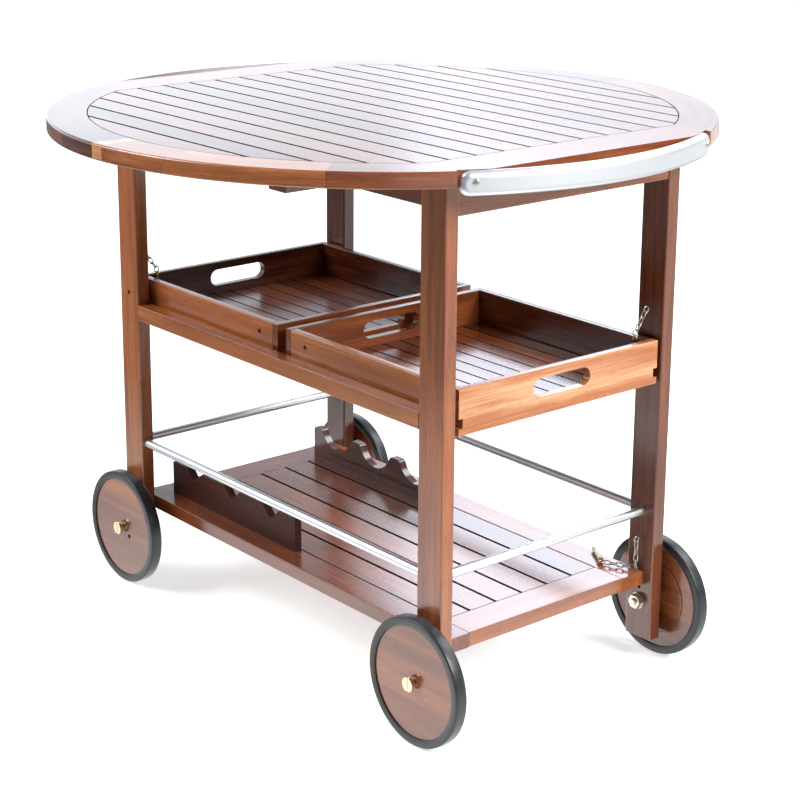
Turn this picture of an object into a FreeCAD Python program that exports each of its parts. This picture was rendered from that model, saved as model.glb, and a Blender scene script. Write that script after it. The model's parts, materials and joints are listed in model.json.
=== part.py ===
"""Outdoor bar cart: round slatted top, two sliding trays, bottle shelf and four wheels.

Millimetres.  The origin is on the floor under the middle of the cart, +Z is up,
+X runs along the cart towards one handle, and -Y is the front long side.
"""
import FreeCAD, Part
import Sketcher
import math
import os

SIZES = {
    # round top
    "top_height": 782,
    "top_radius": 475,
    "finger_gap": 36.5,
    "top_thick": 22,
    "border_width": 56,
    "end_rail_width": 74,
    "top_slat_gap": 4.5,
    "top_field_gap": 1.5,
    "top_edge_round": 3,
    "batten_wide": 36,
    "batten_deep": 14,
    "batten_spacing": 240,
    "batten_inset": 45,
    # legs and the rails between them
    "leg_span_x": 760,
    "leg_span_y": 424,
    "leg_wide": 48,
    "leg_thick": 22,
    "leg_foot": 34,
    "leg_round": 2.5,
    "end_apron_deep": 46,
    "long_apron_deep": 37,
    "apron_thick": 20,
    "apron_setback": 2,
    "mid_rail_top": 453,
    "mid_rail_deep": 24,
    "board_round": 1.5,
    "dowel_diameter": 8,
    "dowel_in_leg": 13,
    "dowel_in_rail": 20,
    "dowel_end_gap": 0.5,
    "snug_fit": 0.05,
    # trays and their runners
    "runner_drop": 5.3,
    "runner_deep": 12,
    "slide_fit": 0.3,
    "slide_gap": 0.5,
    "tray_middle_gap": 20,
    "tray_end_inset": 2,
    "tray_side_gap": 6.5,
    "tray_deep": 63,
    "tray_board": 12,
    "groove_deep": 7,
    "groove_tall": 13,
    "groove_rise": 10,
    "hand_hole_wide": 105,
    "hand_hole_tall": 26,
    "hand_hole_rise": 38,
    "floor_thick": 8,
    "floor_rise": 4,
    "floor_gap": 3,
    "floor_housing": 5,
    "housing_fit": 0.2,
    "tray_pin_inset": 44,
    "tray_pin_rise": 44.5,
    # lower shelf and bottle rack
    "shelf_top": 138,
    "shelf_thick": 21,
    "shelf_inset": 16,
    "shelf_side_width": 45,
    "shelf_end_width": 54,
    "shelf_slat_gap": 4.5,
    "shelf_edge_gap": 1.5,
    "tenon_long": 8,
    "tenon_tall": 8,
    "shelf_screw_diameter": 6,
    "shelf_screw_head": 11,
    "shelf_screw_grip": 26,
    "rack_long": 320,
    "rack_thick": 12,
    "rack_over_end_rail": 17,
    "rack_over_side_rail": 13,
    "rack_spacing": 281,
    "rack_pitch": 100,
    "neck_board_tall": 52,
    "neck_depth": 20,
    "neck_floor_round": 9,
    "neck_round": 2,
    "bottle_board_tall": 52,
    "bottle_radius": 39.5,
    "bottle_depth": 29,
    "bottle_round": 7,
    # aluminium tubes
    "tube_height": 228,
    "tube_diameter": 13,
    "tube_wall": 1.5,
    "tube_seat": 10,
    # wheels and axles
    "wheel_radius": 90,
    "wheel_gap": 9,
    "tyre_wide": 18,
    "tyre_radial": 11,
    "tyre_lip": 3,
    "tyre_round": 6,
    "tyre_fit": 0.1,
    "disc_thick": 14,
    "disc_groove_radius": 55,
    "disc_groove_wide": 2,
    "disc_groove_deep": 1.5,
    "axle_diameter": 10,
    "run_fit": 0.05,
    "run_gap": 0.3,
    "axle_head": 20,
    "axle_head_thick": 5,
    "axle_collar": 13,
    "axle_collar_long": 5,
    "axle_slot": 2,
    "spacer_diameter": 26,
    "washer_diameter": 24,
    "washer_thick": 2,
    "nut_across": 19,
    "nut_thick": 8,
    "axle_stub": 4,
    # handles
    "handle_thick": 10,
    "handle_tall": 32,
    "handle_proud": 1.5,
    "handle_drop": 1,
    "handle_lap": 3.0,
    "handle_end_gap": 0.4,
    "handle_end_round": 14,
    "handle_face_round": 8.5,
    "handle_seat_gap": 0.2,
    "handle_screw_lap": 0.6,
    "handle_screw_rise": 8,
    "handle_screw_diameter": 5,
    "handle_screw_head": 9,
    "handle_screw_head_thick": 2.5,
    "handle_screw_grip": 28,
    # lock pins, chains and screw eyes
    "lock_radius": 22,
    "lock_hole_turn": -29,
    "pin_diameter": 6,
    "pin_long": 40,
    "pin_head": 9,
    "pin_head_long": 9,
    "pin_hole_gap": 0.5,
    "ring_radius": 4.5,
    "pin_tip": 1,
    "ring_wire": 2,
    "tray_eye_height": 528,
    "tray_chain_lean": 34,
    "lying_chain_turn": 25,
    "lying_pin_turn": -32,
    "hung_chain_out": 15,
    "hung_chain_in": 10,
    "hung_chain_drop": 48.8,
    "eye_shank": 1.7,
    "eye_reach": 9,
    "eye_in_leg": 12,
    "link_long": 14,
    "link_wide": 7.6,
    "link_wire": 1.8,
    "link_gap": 0.6,
    "rest_gap": 0.3,
}

# counts of repeated pieces
TOP_SLATS = 18
FLOOR_SLATS = 11
SHELF_SLATS = 6
BOTTLES = 3
LYING_CHAIN_HANGING = 4
LYING_CHAIN_LYING = 5
HUNG_CHAIN_LINKS = 8
TRAY_CHAIN_LINKS = 3
WIRE_SIDES = 6

# where dowels sit across a joint, as shares of its depth
APRON_DOWEL_SHARES = (0.3, 0.75)
SHELF_DOWEL_SHARES = (0.4, 0.8)

# two lengths or directions closer than this are the same
TINY = 1e-6

SIDES_X = {"left": -1, "right": 1}
SIDES_Y = {"front": -1, "back": 1}
LOCK_CORNERS = (("left", "front"), ("right", "back"))

Vector = FreeCAD.Vector
Rotation = FreeCAD.Rotation
ALONG = {
    "x": Rotation(Vector(0, 1, 0), 90),
    "y": Rotation(Vector(1, 0, 0), -90),
    "z": Rotation(),
}
HALF_TURN = Rotation(Vector(0, 0, 1), 180)

doc = FreeCAD.newDocument("bar_cart")
sheet = doc.addObject("Spreadsheet::Sheet", "Sizes")
for row, (alias, value) in enumerate(SIZES.items(), start=1):
    sheet.set(f"A{row}", alias)
    sheet.set(f"B{row}", str(value))
    sheet.setAlias(f"B{row}", alias)
doc.recompute()

# places worked out from the sheet, as formulas
LEG_OUT_X = "Sizes.leg_span_x / 2"
LEG_OUT_Y = "Sizes.leg_span_y / 2"
LEG_IN_X = "(Sizes.leg_span_x / 2 - Sizes.leg_wide)"
LEG_IN_Y = "(Sizes.leg_span_y / 2 - Sizes.leg_thick)"
LEG_MID_X = "(Sizes.leg_span_x / 2 - Sizes.leg_wide / 2)"
LEG_MID_Y = "(Sizes.leg_span_y / 2 - Sizes.leg_thick / 2)"
UNDER_TOP = "(Sizes.top_height - Sizes.top_thick)"
FIELD_RADIUS = "(Sizes.top_radius - Sizes.border_width)"
HANDLE_OUT = "(Sizes.top_radius + Sizes.handle_proud)"
HANDLE_IN = f"({HANDLE_OUT} - Sizes.handle_thick)"
TOP_CHORD = f"({HANDLE_IN} - Sizes.finger_gap)"
FIELD_END = f"({TOP_CHORD} - Sizes.end_rail_width)"
SEAM = f"sqrt({FIELD_RADIUS}^2 - {FIELD_END}^2)"
APRON_MID_X = "(Sizes.leg_span_x / 2 - Sizes.apron_setback - Sizes.apron_thick / 2)"
APRON_MID_Y = "(Sizes.leg_span_y / 2 - Sizes.apron_setback - Sizes.apron_thick / 2)"
END_APRON_DOWELS = [f"({UNDER_TOP} - Sizes.end_apron_deep * {share})" for share in APRON_DOWEL_SHARES]
LONG_APRON_DOWELS = [f"({UNDER_TOP} - Sizes.long_apron_deep * {share})" for share in APRON_DOWEL_SHARES]
MID_RAIL_DOWEL = "(Sizes.mid_rail_top - Sizes.mid_rail_deep / 2)"
RUNNER_TOP = "(Sizes.mid_rail_top - Sizes.runner_drop)"
RUNNER_REACH = "(Sizes.tray_side_gap + Sizes.groove_deep - Sizes.slide_gap)"
TRAY_BOTTOM = f"({RUNNER_TOP} + Sizes.slide_fit - Sizes.groove_rise - Sizes.groove_tall)"
TRAY_LONG = "(Sizes.leg_span_x / 2 - Sizes.tray_end_inset - Sizes.tray_middle_gap / 2)"
TRAY_HALF = f"({LEG_IN_Y} - Sizes.tray_side_gap)"
TRAY_IN_Y = f"({TRAY_HALF} - Sizes.tray_board)"
TRAY_PIN_HEIGHT = f"({TRAY_BOTTOM} + Sizes.tray_pin_rise)"
SHELF_END = "(Sizes.leg_span_x / 2 - Sizes.shelf_inset)"
SHELF_IN_X = f"({SHELF_END} - Sizes.shelf_end_width)"
SHELF_IN_Y = f"({LEG_IN_Y} - Sizes.shelf_side_width)"
SHELF_UNDER = "(Sizes.shelf_top - Sizes.shelf_thick)"
SHELF_MID = "(Sizes.shelf_top - Sizes.shelf_thick / 2)"
SHELF_DOWELS = [f"({SHELF_IN_X} + Sizes.shelf_end_width * {share})" for share in SHELF_DOWEL_SHARES]
SHELF_SCREW_X = f"(({LEG_IN_X} + {SHELF_END}) / 2)"
WHEEL_MID_Y = "(Sizes.leg_span_y / 2 + Sizes.wheel_gap + Sizes.tyre_wide / 2)"
DISC_RADIUS = "(Sizes.wheel_radius - Sizes.tyre_radial)"
LOCK_HEIGHT = "(Sizes.wheel_radius + Sizes.lock_radius)"
PIN_HOLE = "(Sizes.pin_diameter / 2 + Sizes.pin_hole_gap)"
CHORD_ANGLE = f"acos({TOP_CHORD} / Sizes.top_radius)"
HANDLE_HALF = f"({CHORD_ANGLE} + Sizes.handle_lap * 1 deg)"
HANDLE_SCREW_ANGLE = f"({CHORD_ANGLE} + Sizes.handle_screw_lap * 1 deg)"
HANDLE_SCREW_Z = f"({UNDER_TOP} + Sizes.handle_screw_rise)"
# a chain link hangs in the one above, and in a ring, with a small gap between the wires
LINK_PITCH = "(Sizes.link_long - 2 * Sizes.link_wire - Sizes.link_gap)"
LINK_FROM_RING = ("(Sizes.ring_radius - Sizes.ring_wire / 2 - Sizes.link_wire - Sizes.link_gap"
                  " + Sizes.link_long / 2)")
EYE_Y = f"({LEG_IN_Y} - Sizes.eye_reach)"
LYING_HEIGHT = "(Sizes.shelf_top + Sizes.rest_gap + Sizes.pin_head / 2)"
WHEEL_EYE_HEIGHT = (f"({LYING_HEIGHT} + {LINK_FROM_RING} + {LYING_CHAIN_HANGING - 1} * {LINK_PITCH}"
                    " + Sizes.link_long / 2 - Sizes.link_wire / 2)")
FIRST_LYING = "(Sizes.link_long / 2 - 1.5 * Sizes.link_wire - Sizes.link_gap)"
LYING_REACH = f"({FIRST_LYING} + {LYING_CHAIN_LYING - 1} * {LINK_PITCH} + {LINK_FROM_RING})"
HUNG_DROP = "(sqrt(Sizes.hung_chain_in^2 + Sizes.hung_chain_drop^2) - Sizes.ring_radius)"
HUNG_LEAN = f"sqrt(Sizes.hung_chain_out^2 + {HUNG_DROP}^2)"
HUNG_BELOW = (f"(2 * {LINK_FROM_RING} - Sizes.ring_radius + {HUNG_CHAIN_LINKS - 1} * {LINK_PITCH}"
              f" - {HUNG_LEAN} - Sizes.link_gap)")


def size(alias):
    """One driving dimension, as a number."""
    return float(sheet.get(alias))


def worked_out(formula):
    """A formula on the sheet, as a number."""
    return float(sheet.evalExpression(formula))


def bind(item, **formulas):
    """Tie properties to formulas on the sheet."""
    for name, formula in formulas.items():
        item.setExpression(name, formula)


def put(item, x, y, z):
    """Tie an object's place to formulas."""
    for axis, formula in zip("xyz", (x, y, z)):
        item.setExpression("Placement.Base." + axis, str(formula))


def span(side, near, far):
    """A (low, high) pair for a piece that reaches from near to far on one side of the middle."""
    if side > 0:
        return near, far
    return f"-({far})", f"-({near})"


def about(middle, width):
    """A (low, high) pair round a middle."""
    return f"({middle}) - ({width}) / 2", f"({middle}) + ({width}) / 2"


# helpers for bodies made of features
def new_body(label):
    body = doc.addObject("PartDesign::Body", label)
    body.Label = label
    return body


def box_feature(body, kind, x, y, z):
    feature = body.newObject(f"PartDesign::{kind}Box", "Block")
    bind(feature, Length=f"{x[1]} - ({x[0]})", Width=f"{y[1]} - ({y[0]})", Height=f"{z[1]} - ({z[0]})")
    put(feature, x[0], y[0], z[0])
    return feature


def bore(body, axis, start, radius, long):
    """A round hole along an axis, from a start point in that axis's positive direction."""
    feature = body.newObject("PartDesign::SubtractiveCylinder", "Bore")
    feature.Placement = FreeCAD.Placement(Vector(), ALONG[axis])
    bind(feature, Radius=radius, Height=long)
    put(feature, *start)
    return feature


def blind_bore(body, axis, side, face, depth, cross, radius):
    """A blind hole from a face outwards (side +1 or -1); cross holds the other two coordinates in order."""
    low = face if side > 0 else f"-({face}) - ({depth})"
    start = list(cross)
    start.insert("xyz".index(axis), low)
    return bore(body, axis, start, radius, depth)


def edges_along(shape, axis):
    """Names of the straight edges that run along one axis."""
    names = []
    for number, edge in enumerate(shape.Edges, start=1):
        if isinstance(edge.Curve, Part.Line):
            direction = edge.Curve.Direction
            if abs(abs(getattr(direction, axis)) - 1) < TINY:
                names.append(f"Edge{number}")
    return names


def round_edges(body, names, radius):
    """Round edges of the body's last feature."""
    last = body.Tip
    fillet = body.newObject("PartDesign::Fillet", "Round")
    fillet.Base = (last, names)
    bind(fillet, Radius=radius)
    body.Tip = fillet
    return fillet


def board(label, x, y, z, grain, radius="Sizes.board_round"):
    """A board with its long edges eased."""
    body = new_body(label)
    block = box_feature(body, "Additive", x, y, z)
    doc.recompute()
    round_edges(body, edges_along(block.Shape, grain), radius)
    return body


def outline(body, role, points):
    """A closed sketch of straight lines whose corners are tied to formulas."""
    sketch = body.newObject("Sketcher::SketchObject", "Outline")
    plane = next(item for item in body.Origin.OriginFeatures if item.Role == role)
    sketch.AttachmentSupport = [(plane, "")]
    sketch.MapMode = "FlatFace"
    count = len(points)
    turn = 2 * math.pi / count
    start = [Vector(math.cos(turn * k), math.sin(turn * k), 0) for k in range(count)]
    for k in range(count):
        sketch.addGeometry(Part.LineSegment(start[k], start[(k + 1) % count]), False)
    for k in range(count):
        sketch.addConstraint(Sketcher.Constraint("Coincident", (k - 1) % count, 2, k, 1))
    for k, corner in enumerate(points):
        for kind, value, formula in zip(("DistanceX", "DistanceY"), start[k], corner):
            number = sketch.addConstraint(Sketcher.Constraint(kind, -1, 1, k, 1, value))
            sketch.setExpression(f"Constraints[{number}]", formula)
    return sketch


def turned(body, points, angle="360 deg", middle=False):
    """A body of revolution about its own Z, from (radius, height) corners."""
    sketch = outline(body, "XZ_Plane", points)
    turn = body.newObject("PartDesign::Revolution", "Turn")
    turn.Profile = sketch
    turn.ReferenceAxis = (sketch, ["V_Axis"])
    turn.Midplane = middle
    bind(turn, Angle=angle)
    doc.recompute()
    return turn


# helpers for plain solids and groups
def part_box(label, x, y, z):
    item = doc.addObject("Part::Box", label)
    bind(item, Length=f"{x[1]} - ({x[0]})", Width=f"{y[1]} - ({y[0]})", Height=f"{z[1]} - ({z[0]})")
    put(item, x[0], y[0], z[0])
    return item


def part_rod(label, axis, start, radius, long):
    item = doc.addObject("Part::Cylinder", label)
    item.Placement = FreeCAD.Placement(Vector(), ALONG[axis])
    bind(item, Radius=radius, Height=long)
    put(item, *start)
    return item


def boolean(kind, label, base, tool):
    item = doc.addObject(f"Part::{kind}", label)
    item.Base = base
    item.Tool = tool
    item.Label = label
    return item


def group(label, items):
    item = doc.addObject("Part::Compound", label)
    item.Links = items
    item.Label = label
    return item


def ring(label, axis, start, outer, inner, long):
    """A tube or washer along an axis."""
    whole = part_rod(f"{label}_outside", axis, start, outer, long)
    hole = part_rod(f"{label}_hole", axis, start, inner, long)
    return boolean("Cut", label, whole, hole)


def about_z(item, angle):
    """Turn an object about the upright axis through the origin."""
    item.setExpression("Placement.Rotation.Angle", angle)
    return item


nodes = []


def keep(*items):
    """Mark finished sub-parts for export."""
    nodes.extend(items)


# round top: a bordered slat field with straight end rails at the two handle ends
top_z = (UNDER_TOP, "Sizes.top_height")
deep_z = (f"{UNDER_TOP} - Sizes.top_thick", "Sizes.top_height + Sizes.top_thick")
top_disc = new_body("top_disc")
turned(top_disc, [("0", UNDER_TOP), ("Sizes.top_radius", UNDER_TOP),
                  ("Sizes.top_radius", "Sizes.top_height"), ("0", "Sizes.top_height")])
rims = [f"Edge{number}" for number, edge in enumerate(top_disc.Tip.Shape.Edges, start=1)
        if isinstance(edge.Curve, Part.Circle)]
round_edges(top_disc, rims, "Sizes.top_edge_round")

seat_half = f"({HANDLE_HALF} + Sizes.handle_end_gap * 1 deg)"
seats = []
for name, turn in (("right", "0 deg"), ("left", "180 deg")):
    sector = part_rod(f"seat_sector_{name}", "z", ("0", "0", deep_z[0]),
                      f"{HANDLE_OUT} + Sizes.handle_thick", "3 * Sizes.top_thick")
    bind(sector, Angle=f"2 * {seat_half}")
    about_z(sector, f"{turn} - {seat_half}")
    core = part_rod(f"seat_core_{name}", "z", ("0", "0", deep_z[0]),
                    f"{HANDLE_IN} - Sizes.handle_seat_gap", "3 * Sizes.top_thick")
    seats.append(boolean("Cut", f"handle_seat_{name}", sector, core))
top_blank = boolean("Cut", "top_blank", top_disc, group("handle_seats", seats))

field = part_rod("top_field", "z", ("0", "0", deep_z[0]), FIELD_RADIUS, "3 * Sizes.top_thick")
border = boolean("Cut", "top_border", top_blank, field)
for name, side in SIDES_Y.items():
    half = part_box(f"border_half_{name}", ("-Sizes.top_radius", "Sizes.top_radius"),
                    span(side, SEAM, "Sizes.top_radius"), deep_z)
    keep(boolean("Common", f"top_border_{name}", border, half))


def radial_rod(label, angle, near, far, radius):
    """A rod that points outwards from the cart's upright axis, at the height of the handle screws."""
    rod = part_rod(f"{label}_rod", "x", (near, "0", HANDLE_SCREW_Z), radius, f"{far} - ({near})")
    return about_z(group(label, [rod]), angle)


handle_screw_angles = {
    side: [f"{turn} + {sign} * {HANDLE_SCREW_ANGLE}" for sign in (-1, 1)]
    for side, turn in (("right", "0 deg"), ("left", "180 deg"))
}
screw_low = f"{HANDLE_OUT} - Sizes.handle_thick - Sizes.handle_screw_grip"
screw_hole = "Sizes.handle_screw_diameter / 2 + Sizes.snug_fit"
for name, side in SIDES_X.items():
    strip = part_box(f"end_strip_{name}", span(side, FIELD_END, TOP_CHORD), (f"-{SEAM}", SEAM), deep_z)
    rail = boolean("Common", f"end_rail_blank_{name}", top_blank, strip)
    pilot_low = f"{screw_low} - Sizes.dowel_end_gap"
    pilots = [radial_rod(f"rail_pilot_{name}_{k}", angle, pilot_low, HANDLE_OUT, screw_hole)
              for k, angle in enumerate(handle_screw_angles[name])]
    keep(boolean("Cut", f"top_end_rail_{name}", rail, group(f"rail_pilots_{name}", pilots)))

slat_pitch = f"(2 * {FIELD_RADIUS} / {TOP_SLATS})"
slat_x = (f"Sizes.top_field_gap - {FIELD_END}", f"{FIELD_END} - Sizes.top_field_gap")
strips = []
for k in range(TOP_SLATS):
    slat_y = about(f"{slat_pitch} * {k + 0.5} - {FIELD_RADIUS}", f"{slat_pitch} - Sizes.top_slat_gap")
    strips.append(part_box(f"slat_strip_{k + 1}", slat_x, slat_y, top_z))
slat_disc = part_rod("slat_disc", "z", ("0", "0", deep_z[0]), f"{FIELD_RADIUS} - Sizes.top_field_gap",
                     "3 * Sizes.top_thick")
keep(boolean("Common", "top_slats", group("slat_strips", strips), slat_disc))

batten_places = {"left": "-Sizes.batten_spacing", "middle": "0", "right": "Sizes.batten_spacing"}
batten_z = (f"{UNDER_TOP} - Sizes.batten_deep", UNDER_TOP)
battens = []
for name, place in batten_places.items():
    reach = f"(sqrt(Sizes.top_radius^2 - ({place})^2) - Sizes.batten_inset)"
    batten_x = about(place, "Sizes.batten_wide")
    battens.append(board(f"top_batten_{name}", batten_x, (f"-{reach}", reach), batten_z, "y"))
keep(group("top_battens", battens))

# under-frame: aprons, mid rails with tray runners, and the dowels that join them to the legs
dowel_hole = "Sizes.dowel_diameter / 2 + Sizes.snug_fit"
rail_hole = "Sizes.dowel_in_rail + Sizes.dowel_end_gap"
leg_hole = "Sizes.dowel_in_leg + Sizes.dowel_end_gap"
dowels = []


def dowel(axis, side, face, cross):
    """One dowel across a joint face between a rail and a leg."""
    low = f"{face} - Sizes.dowel_in_rail" if side > 0 else f"-({face}) - Sizes.dowel_in_leg"
    start = list(cross)
    start.insert("xyz".index(axis), low)
    dowels.append(part_rod("dowel", axis, start, "Sizes.dowel_diameter / 2",
                           "Sizes.dowel_in_rail + Sizes.dowel_in_leg"))


for name, side in SIDES_X.items():
    apron_x = span(side, f"{LEG_OUT_X} - Sizes.apron_setback - Sizes.apron_thick",
                   f"{LEG_OUT_X} - Sizes.apron_setback")
    apron = board(f"end_apron_{name}", apron_x, (f"-{LEG_IN_Y}", LEG_IN_Y),
                  (f"{UNDER_TOP} - Sizes.end_apron_deep", UNDER_TOP), "y")
    for end in (-1, 1):
        for height in END_APRON_DOWELS:
            cross = (f"{side} * {APRON_MID_X}", height)
            blind_bore(apron, "y", -end, f"-({LEG_IN_Y})", rail_hole, cross, dowel_hole)
            dowel("y", end, LEG_IN_Y, cross)
    keep(apron)

runners = []
for name, side in SIDES_Y.items():
    apron_y = span(side, f"{LEG_OUT_Y} - Sizes.apron_setback - Sizes.apron_thick",
                   f"{LEG_OUT_Y} - Sizes.apron_setback")
    apron = board(f"long_apron_{name}", (f"-{LEG_IN_X}", LEG_IN_X), apron_y,
                  (f"{UNDER_TOP} - Sizes.long_apron_deep", UNDER_TOP), "x")
    rail = board(f"mid_rail_{name}", (f"-{LEG_IN_X}", LEG_IN_X), span(side, LEG_IN_Y, LEG_OUT_Y),
                 ("Sizes.mid_rail_top - Sizes.mid_rail_deep", "Sizes.mid_rail_top"), "x")
    runners.append(board(f"tray_runner_{name}", (f"-{LEG_IN_X}", LEG_IN_X),
                         span(side, f"{LEG_IN_Y} - {RUNNER_REACH}", LEG_IN_Y),
                         (f"{RUNNER_TOP} - Sizes.runner_deep", RUNNER_TOP), "x"))
    for end in (-1, 1):
        for height in LONG_APRON_DOWELS:
            cross = (f"{side} * {APRON_MID_Y}", height)
            blind_bore(apron, "x", -end, f"-({LEG_IN_X})", rail_hole, cross, dowel_hole)
            dowel("x", end, LEG_IN_X, cross)
        cross = (f"{side} * {LEG_MID_Y}", MID_RAIL_DOWEL)
        blind_bore(rail, "x", -end, f"-({LEG_IN_X})", rail_hole, cross, dowel_hole)
        dowel("x", end, LEG_IN_X, cross)
    for place in batten_places.values():
        box_feature(apron, "Subtractive", about(place, "Sizes.batten_wide + 2 * Sizes.snug_fit"), apron_y,
                    (f"{batten_z[0]} - Sizes.snug_fit", UNDER_TOP))
    keep(apron, rail)
keep(group("tray_runners", runners))

# legs, drilled for everything that joins them
for name_x, side_x in SIDES_X.items():
    for name_y, side_y in SIDES_Y.items():
        leg = board(f"leg_{name_y}_{name_x}", span(side_x, LEG_IN_X, LEG_OUT_X),
                    span(side_y, LEG_IN_Y, LEG_OUT_Y), ("Sizes.leg_foot", UNDER_TOP), "z", "Sizes.leg_round")
        mid_x = f"{side_x} * {LEG_MID_X}"
        mid_y = f"{side_y} * {LEG_MID_Y}"
        for height in END_APRON_DOWELS:
            beside = (f"{side_x} * {APRON_MID_X}", height)
            blind_bore(leg, "y", side_y, LEG_IN_Y, leg_hole, beside, dowel_hole)
        for height in LONG_APRON_DOWELS:
            beside = (f"{side_y} * {APRON_MID_Y}", height)
            blind_bore(leg, "x", side_x, LEG_IN_X, leg_hole, beside, dowel_hole)
        blind_bore(leg, "x", side_x, LEG_IN_X, leg_hole, (mid_y, MID_RAIL_DOWEL), dowel_hole)
        tube_hole = "Sizes.tube_diameter / 2 + Sizes.snug_fit"
        blind_bore(leg, "x", side_x, LEG_IN_X, "Sizes.tube_seat", (mid_y, "Sizes.tube_height"), tube_hole)
        blind_bore(leg, "y", side_y, LEG_IN_Y, "Sizes.tube_seat", (mid_x, "Sizes.tube_height"), tube_hole)
        through = [(mid_x, "Sizes.wheel_radius", "Sizes.axle_diameter / 2 + Sizes.snug_fit"),
                   (f"{side_x} * {SHELF_SCREW_X}", SHELF_MID,
                    "Sizes.shelf_screw_diameter / 2 + Sizes.snug_fit")]
        if (name_x, name_y) in LOCK_CORNERS:
            through.append((mid_x, LOCK_HEIGHT, PIN_HOLE))
            through.append((mid_x, TRAY_PIN_HEIGHT, PIN_HOLE))
            for height in (WHEEL_EYE_HEIGHT, "Sizes.tray_eye_height"):
                blind_bore(leg, "y", side_y, LEG_IN_Y, "Sizes.eye_in_leg + Sizes.dowel_end_gap",
                           (mid_x, height), "Sizes.eye_shank / 2 + Sizes.snug_fit")
        for x, z, radius in through:
            blind_bore(leg, "y", side_y, LEG_IN_Y, "Sizes.leg_thick", (x, z), radius)
        keep(leg)

# aluminium tubes round the shelf
tube_reach = "Sizes.tube_seat - Sizes.dowel_end_gap"
tube_radius = "Sizes.tube_diameter / 2"
tube_bore = f"{tube_radius} - Sizes.tube_wall"
for name, side in SIDES_Y.items():
    start = (f"-({LEG_IN_X} + {tube_reach})", f"{side} * {LEG_MID_Y}", "Sizes.tube_height")
    keep(ring(f"long_tube_{name}", "x", start, tube_radius, tube_bore, f"2 * ({LEG_IN_X} + {tube_reach})"))
for name, side in SIDES_X.items():
    start = (f"{side} * {LEG_MID_X}", f"-({LEG_IN_Y} + {tube_reach})", "Sizes.tube_height")
    keep(ring(f"end_tube_{name}", "y", start, tube_radius, tube_bore, f"2 * ({LEG_IN_Y} + {tube_reach})"))

# lower shelf: side rails, grooved end rails and tenoned slats
shelf_z = (SHELF_UNDER, "Sizes.shelf_top")
screw_radius = "Sizes.shelf_screw_diameter / 2"
shelf_screws = []
for name, side in SIDES_Y.items():
    rail = board(f"shelf_side_rail_{name}", (f"-{SHELF_END}", SHELF_END), span(side, SHELF_IN_Y, LEG_IN_Y),
                 shelf_z, "x")
    for side_x in SIDES_X.values():
        cross = (f"{side_x} * {SHELF_SCREW_X}", SHELF_MID)
        blind_bore(rail, "y", -side, f"-({LEG_IN_Y})", "Sizes.shelf_screw_grip + Sizes.dowel_end_gap", cross,
                   f"{screw_radius} + Sizes.snug_fit")
        shank = span(side, f"{LEG_IN_Y} - Sizes.shelf_screw_grip", LEG_OUT_Y)
        head = span(side, LEG_OUT_Y, f"{LEG_OUT_Y} + {screw_radius}")
        pieces = []
        for reach, radius in ((shank, screw_radius), (head, "Sizes.shelf_screw_head / 2")):
            start = (cross[0], reach[0], cross[1])
            pieces.append(part_rod("screw_part", "y", start, radius, f"{reach[1]} - ({reach[0]})"))
        shelf_screws.append(boolean("Fuse", "shelf_screw", *pieces))
        for place in SHELF_DOWELS:
            blind_bore(rail, "y", side, SHELF_IN_Y, leg_hole, (f"{side_x} * {place}", SHELF_MID), dowel_hole)
    keep(rail)
keep(group("shelf_screws", shelf_screws))

tenon_z = about(SHELF_MID, "Sizes.tenon_tall")
housing_z = about(SHELF_MID, "Sizes.tenon_tall + 2 * Sizes.housing_fit")
shelf_in_y = (f"-{SHELF_IN_Y}", SHELF_IN_Y)
for name, side in SIDES_X.items():
    rail = board(f"shelf_end_rail_{name}", span(side, SHELF_IN_X, SHELF_END), shelf_in_y, shelf_z, "y")
    housing_x = span(side, SHELF_IN_X, f"{SHELF_IN_X} + Sizes.tenon_long + Sizes.housing_fit")
    box_feature(rail, "Subtractive", housing_x, shelf_in_y, housing_z)
    for end in (-1, 1):
        for place in SHELF_DOWELS:
            cross = (f"{side} * {place}", SHELF_MID)
            blind_bore(rail, "y", -end, f"-({SHELF_IN_Y})", rail_hole, cross, dowel_hole)
            dowel("y", end, SHELF_IN_Y, cross)
    keep(rail)

shelf_pitch = f"((2 * {SHELF_IN_Y} - 2 * Sizes.shelf_edge_gap + Sizes.shelf_slat_gap) / {SHELF_SLATS})"
slats = []
tenons = []
for k in range(SHELF_SLATS):
    low = f"{shelf_pitch} * {k} - {SHELF_IN_Y} + Sizes.shelf_edge_gap"
    slat_y = (low, f"{low} + {shelf_pitch} - Sizes.shelf_slat_gap")
    slats.append(part_box(f"shelf_slat_{k + 1}", (f"-{SHELF_IN_X}", SHELF_IN_X), slat_y, shelf_z))
    tenon_x = f"({SHELF_IN_X} + Sizes.tenon_long)"
    tenons.append(part_box(f"shelf_tenon_{k + 1}", (f"-{tenon_x}", tenon_x), slat_y, tenon_z))
keep(boolean("Fuse", "shelf_slats", group("shelf_slat_boards", slats), group("shelf_slat_tenons", tenons)))
keep(group("frame_dowels", dowels))

# bottle rack: a board for the necks and one for the bodies
rack_low = f"(-{SHELF_IN_X} - Sizes.rack_over_end_rail)"
rack_x = (rack_low, f"{rack_low} + Sizes.rack_long")
rack_rests = [f"{rack_low} + Sizes.rack_long / 2 + {k - (BOTTLES - 1) / 2} * Sizes.rack_pitch"
              for k in range(BOTTLES)]
neck_front = f"(-{SHELF_IN_Y} - Sizes.rack_over_side_rail)"
neck_top = "(Sizes.shelf_top + Sizes.neck_board_tall)"
bottle_front = f"({neck_front} + Sizes.rack_spacing)"
bottle_top = "(Sizes.shelf_top + Sizes.bottle_board_tall)"


def rack_board(label, front, top):
    """A plain board on edge, set across the shelf's slats."""
    body = new_body(label)
    box_feature(body, "Additive", rack_x, (front, f"{front} + Sizes.rack_thick"), ("Sizes.shelf_top", top))
    return body


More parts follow.
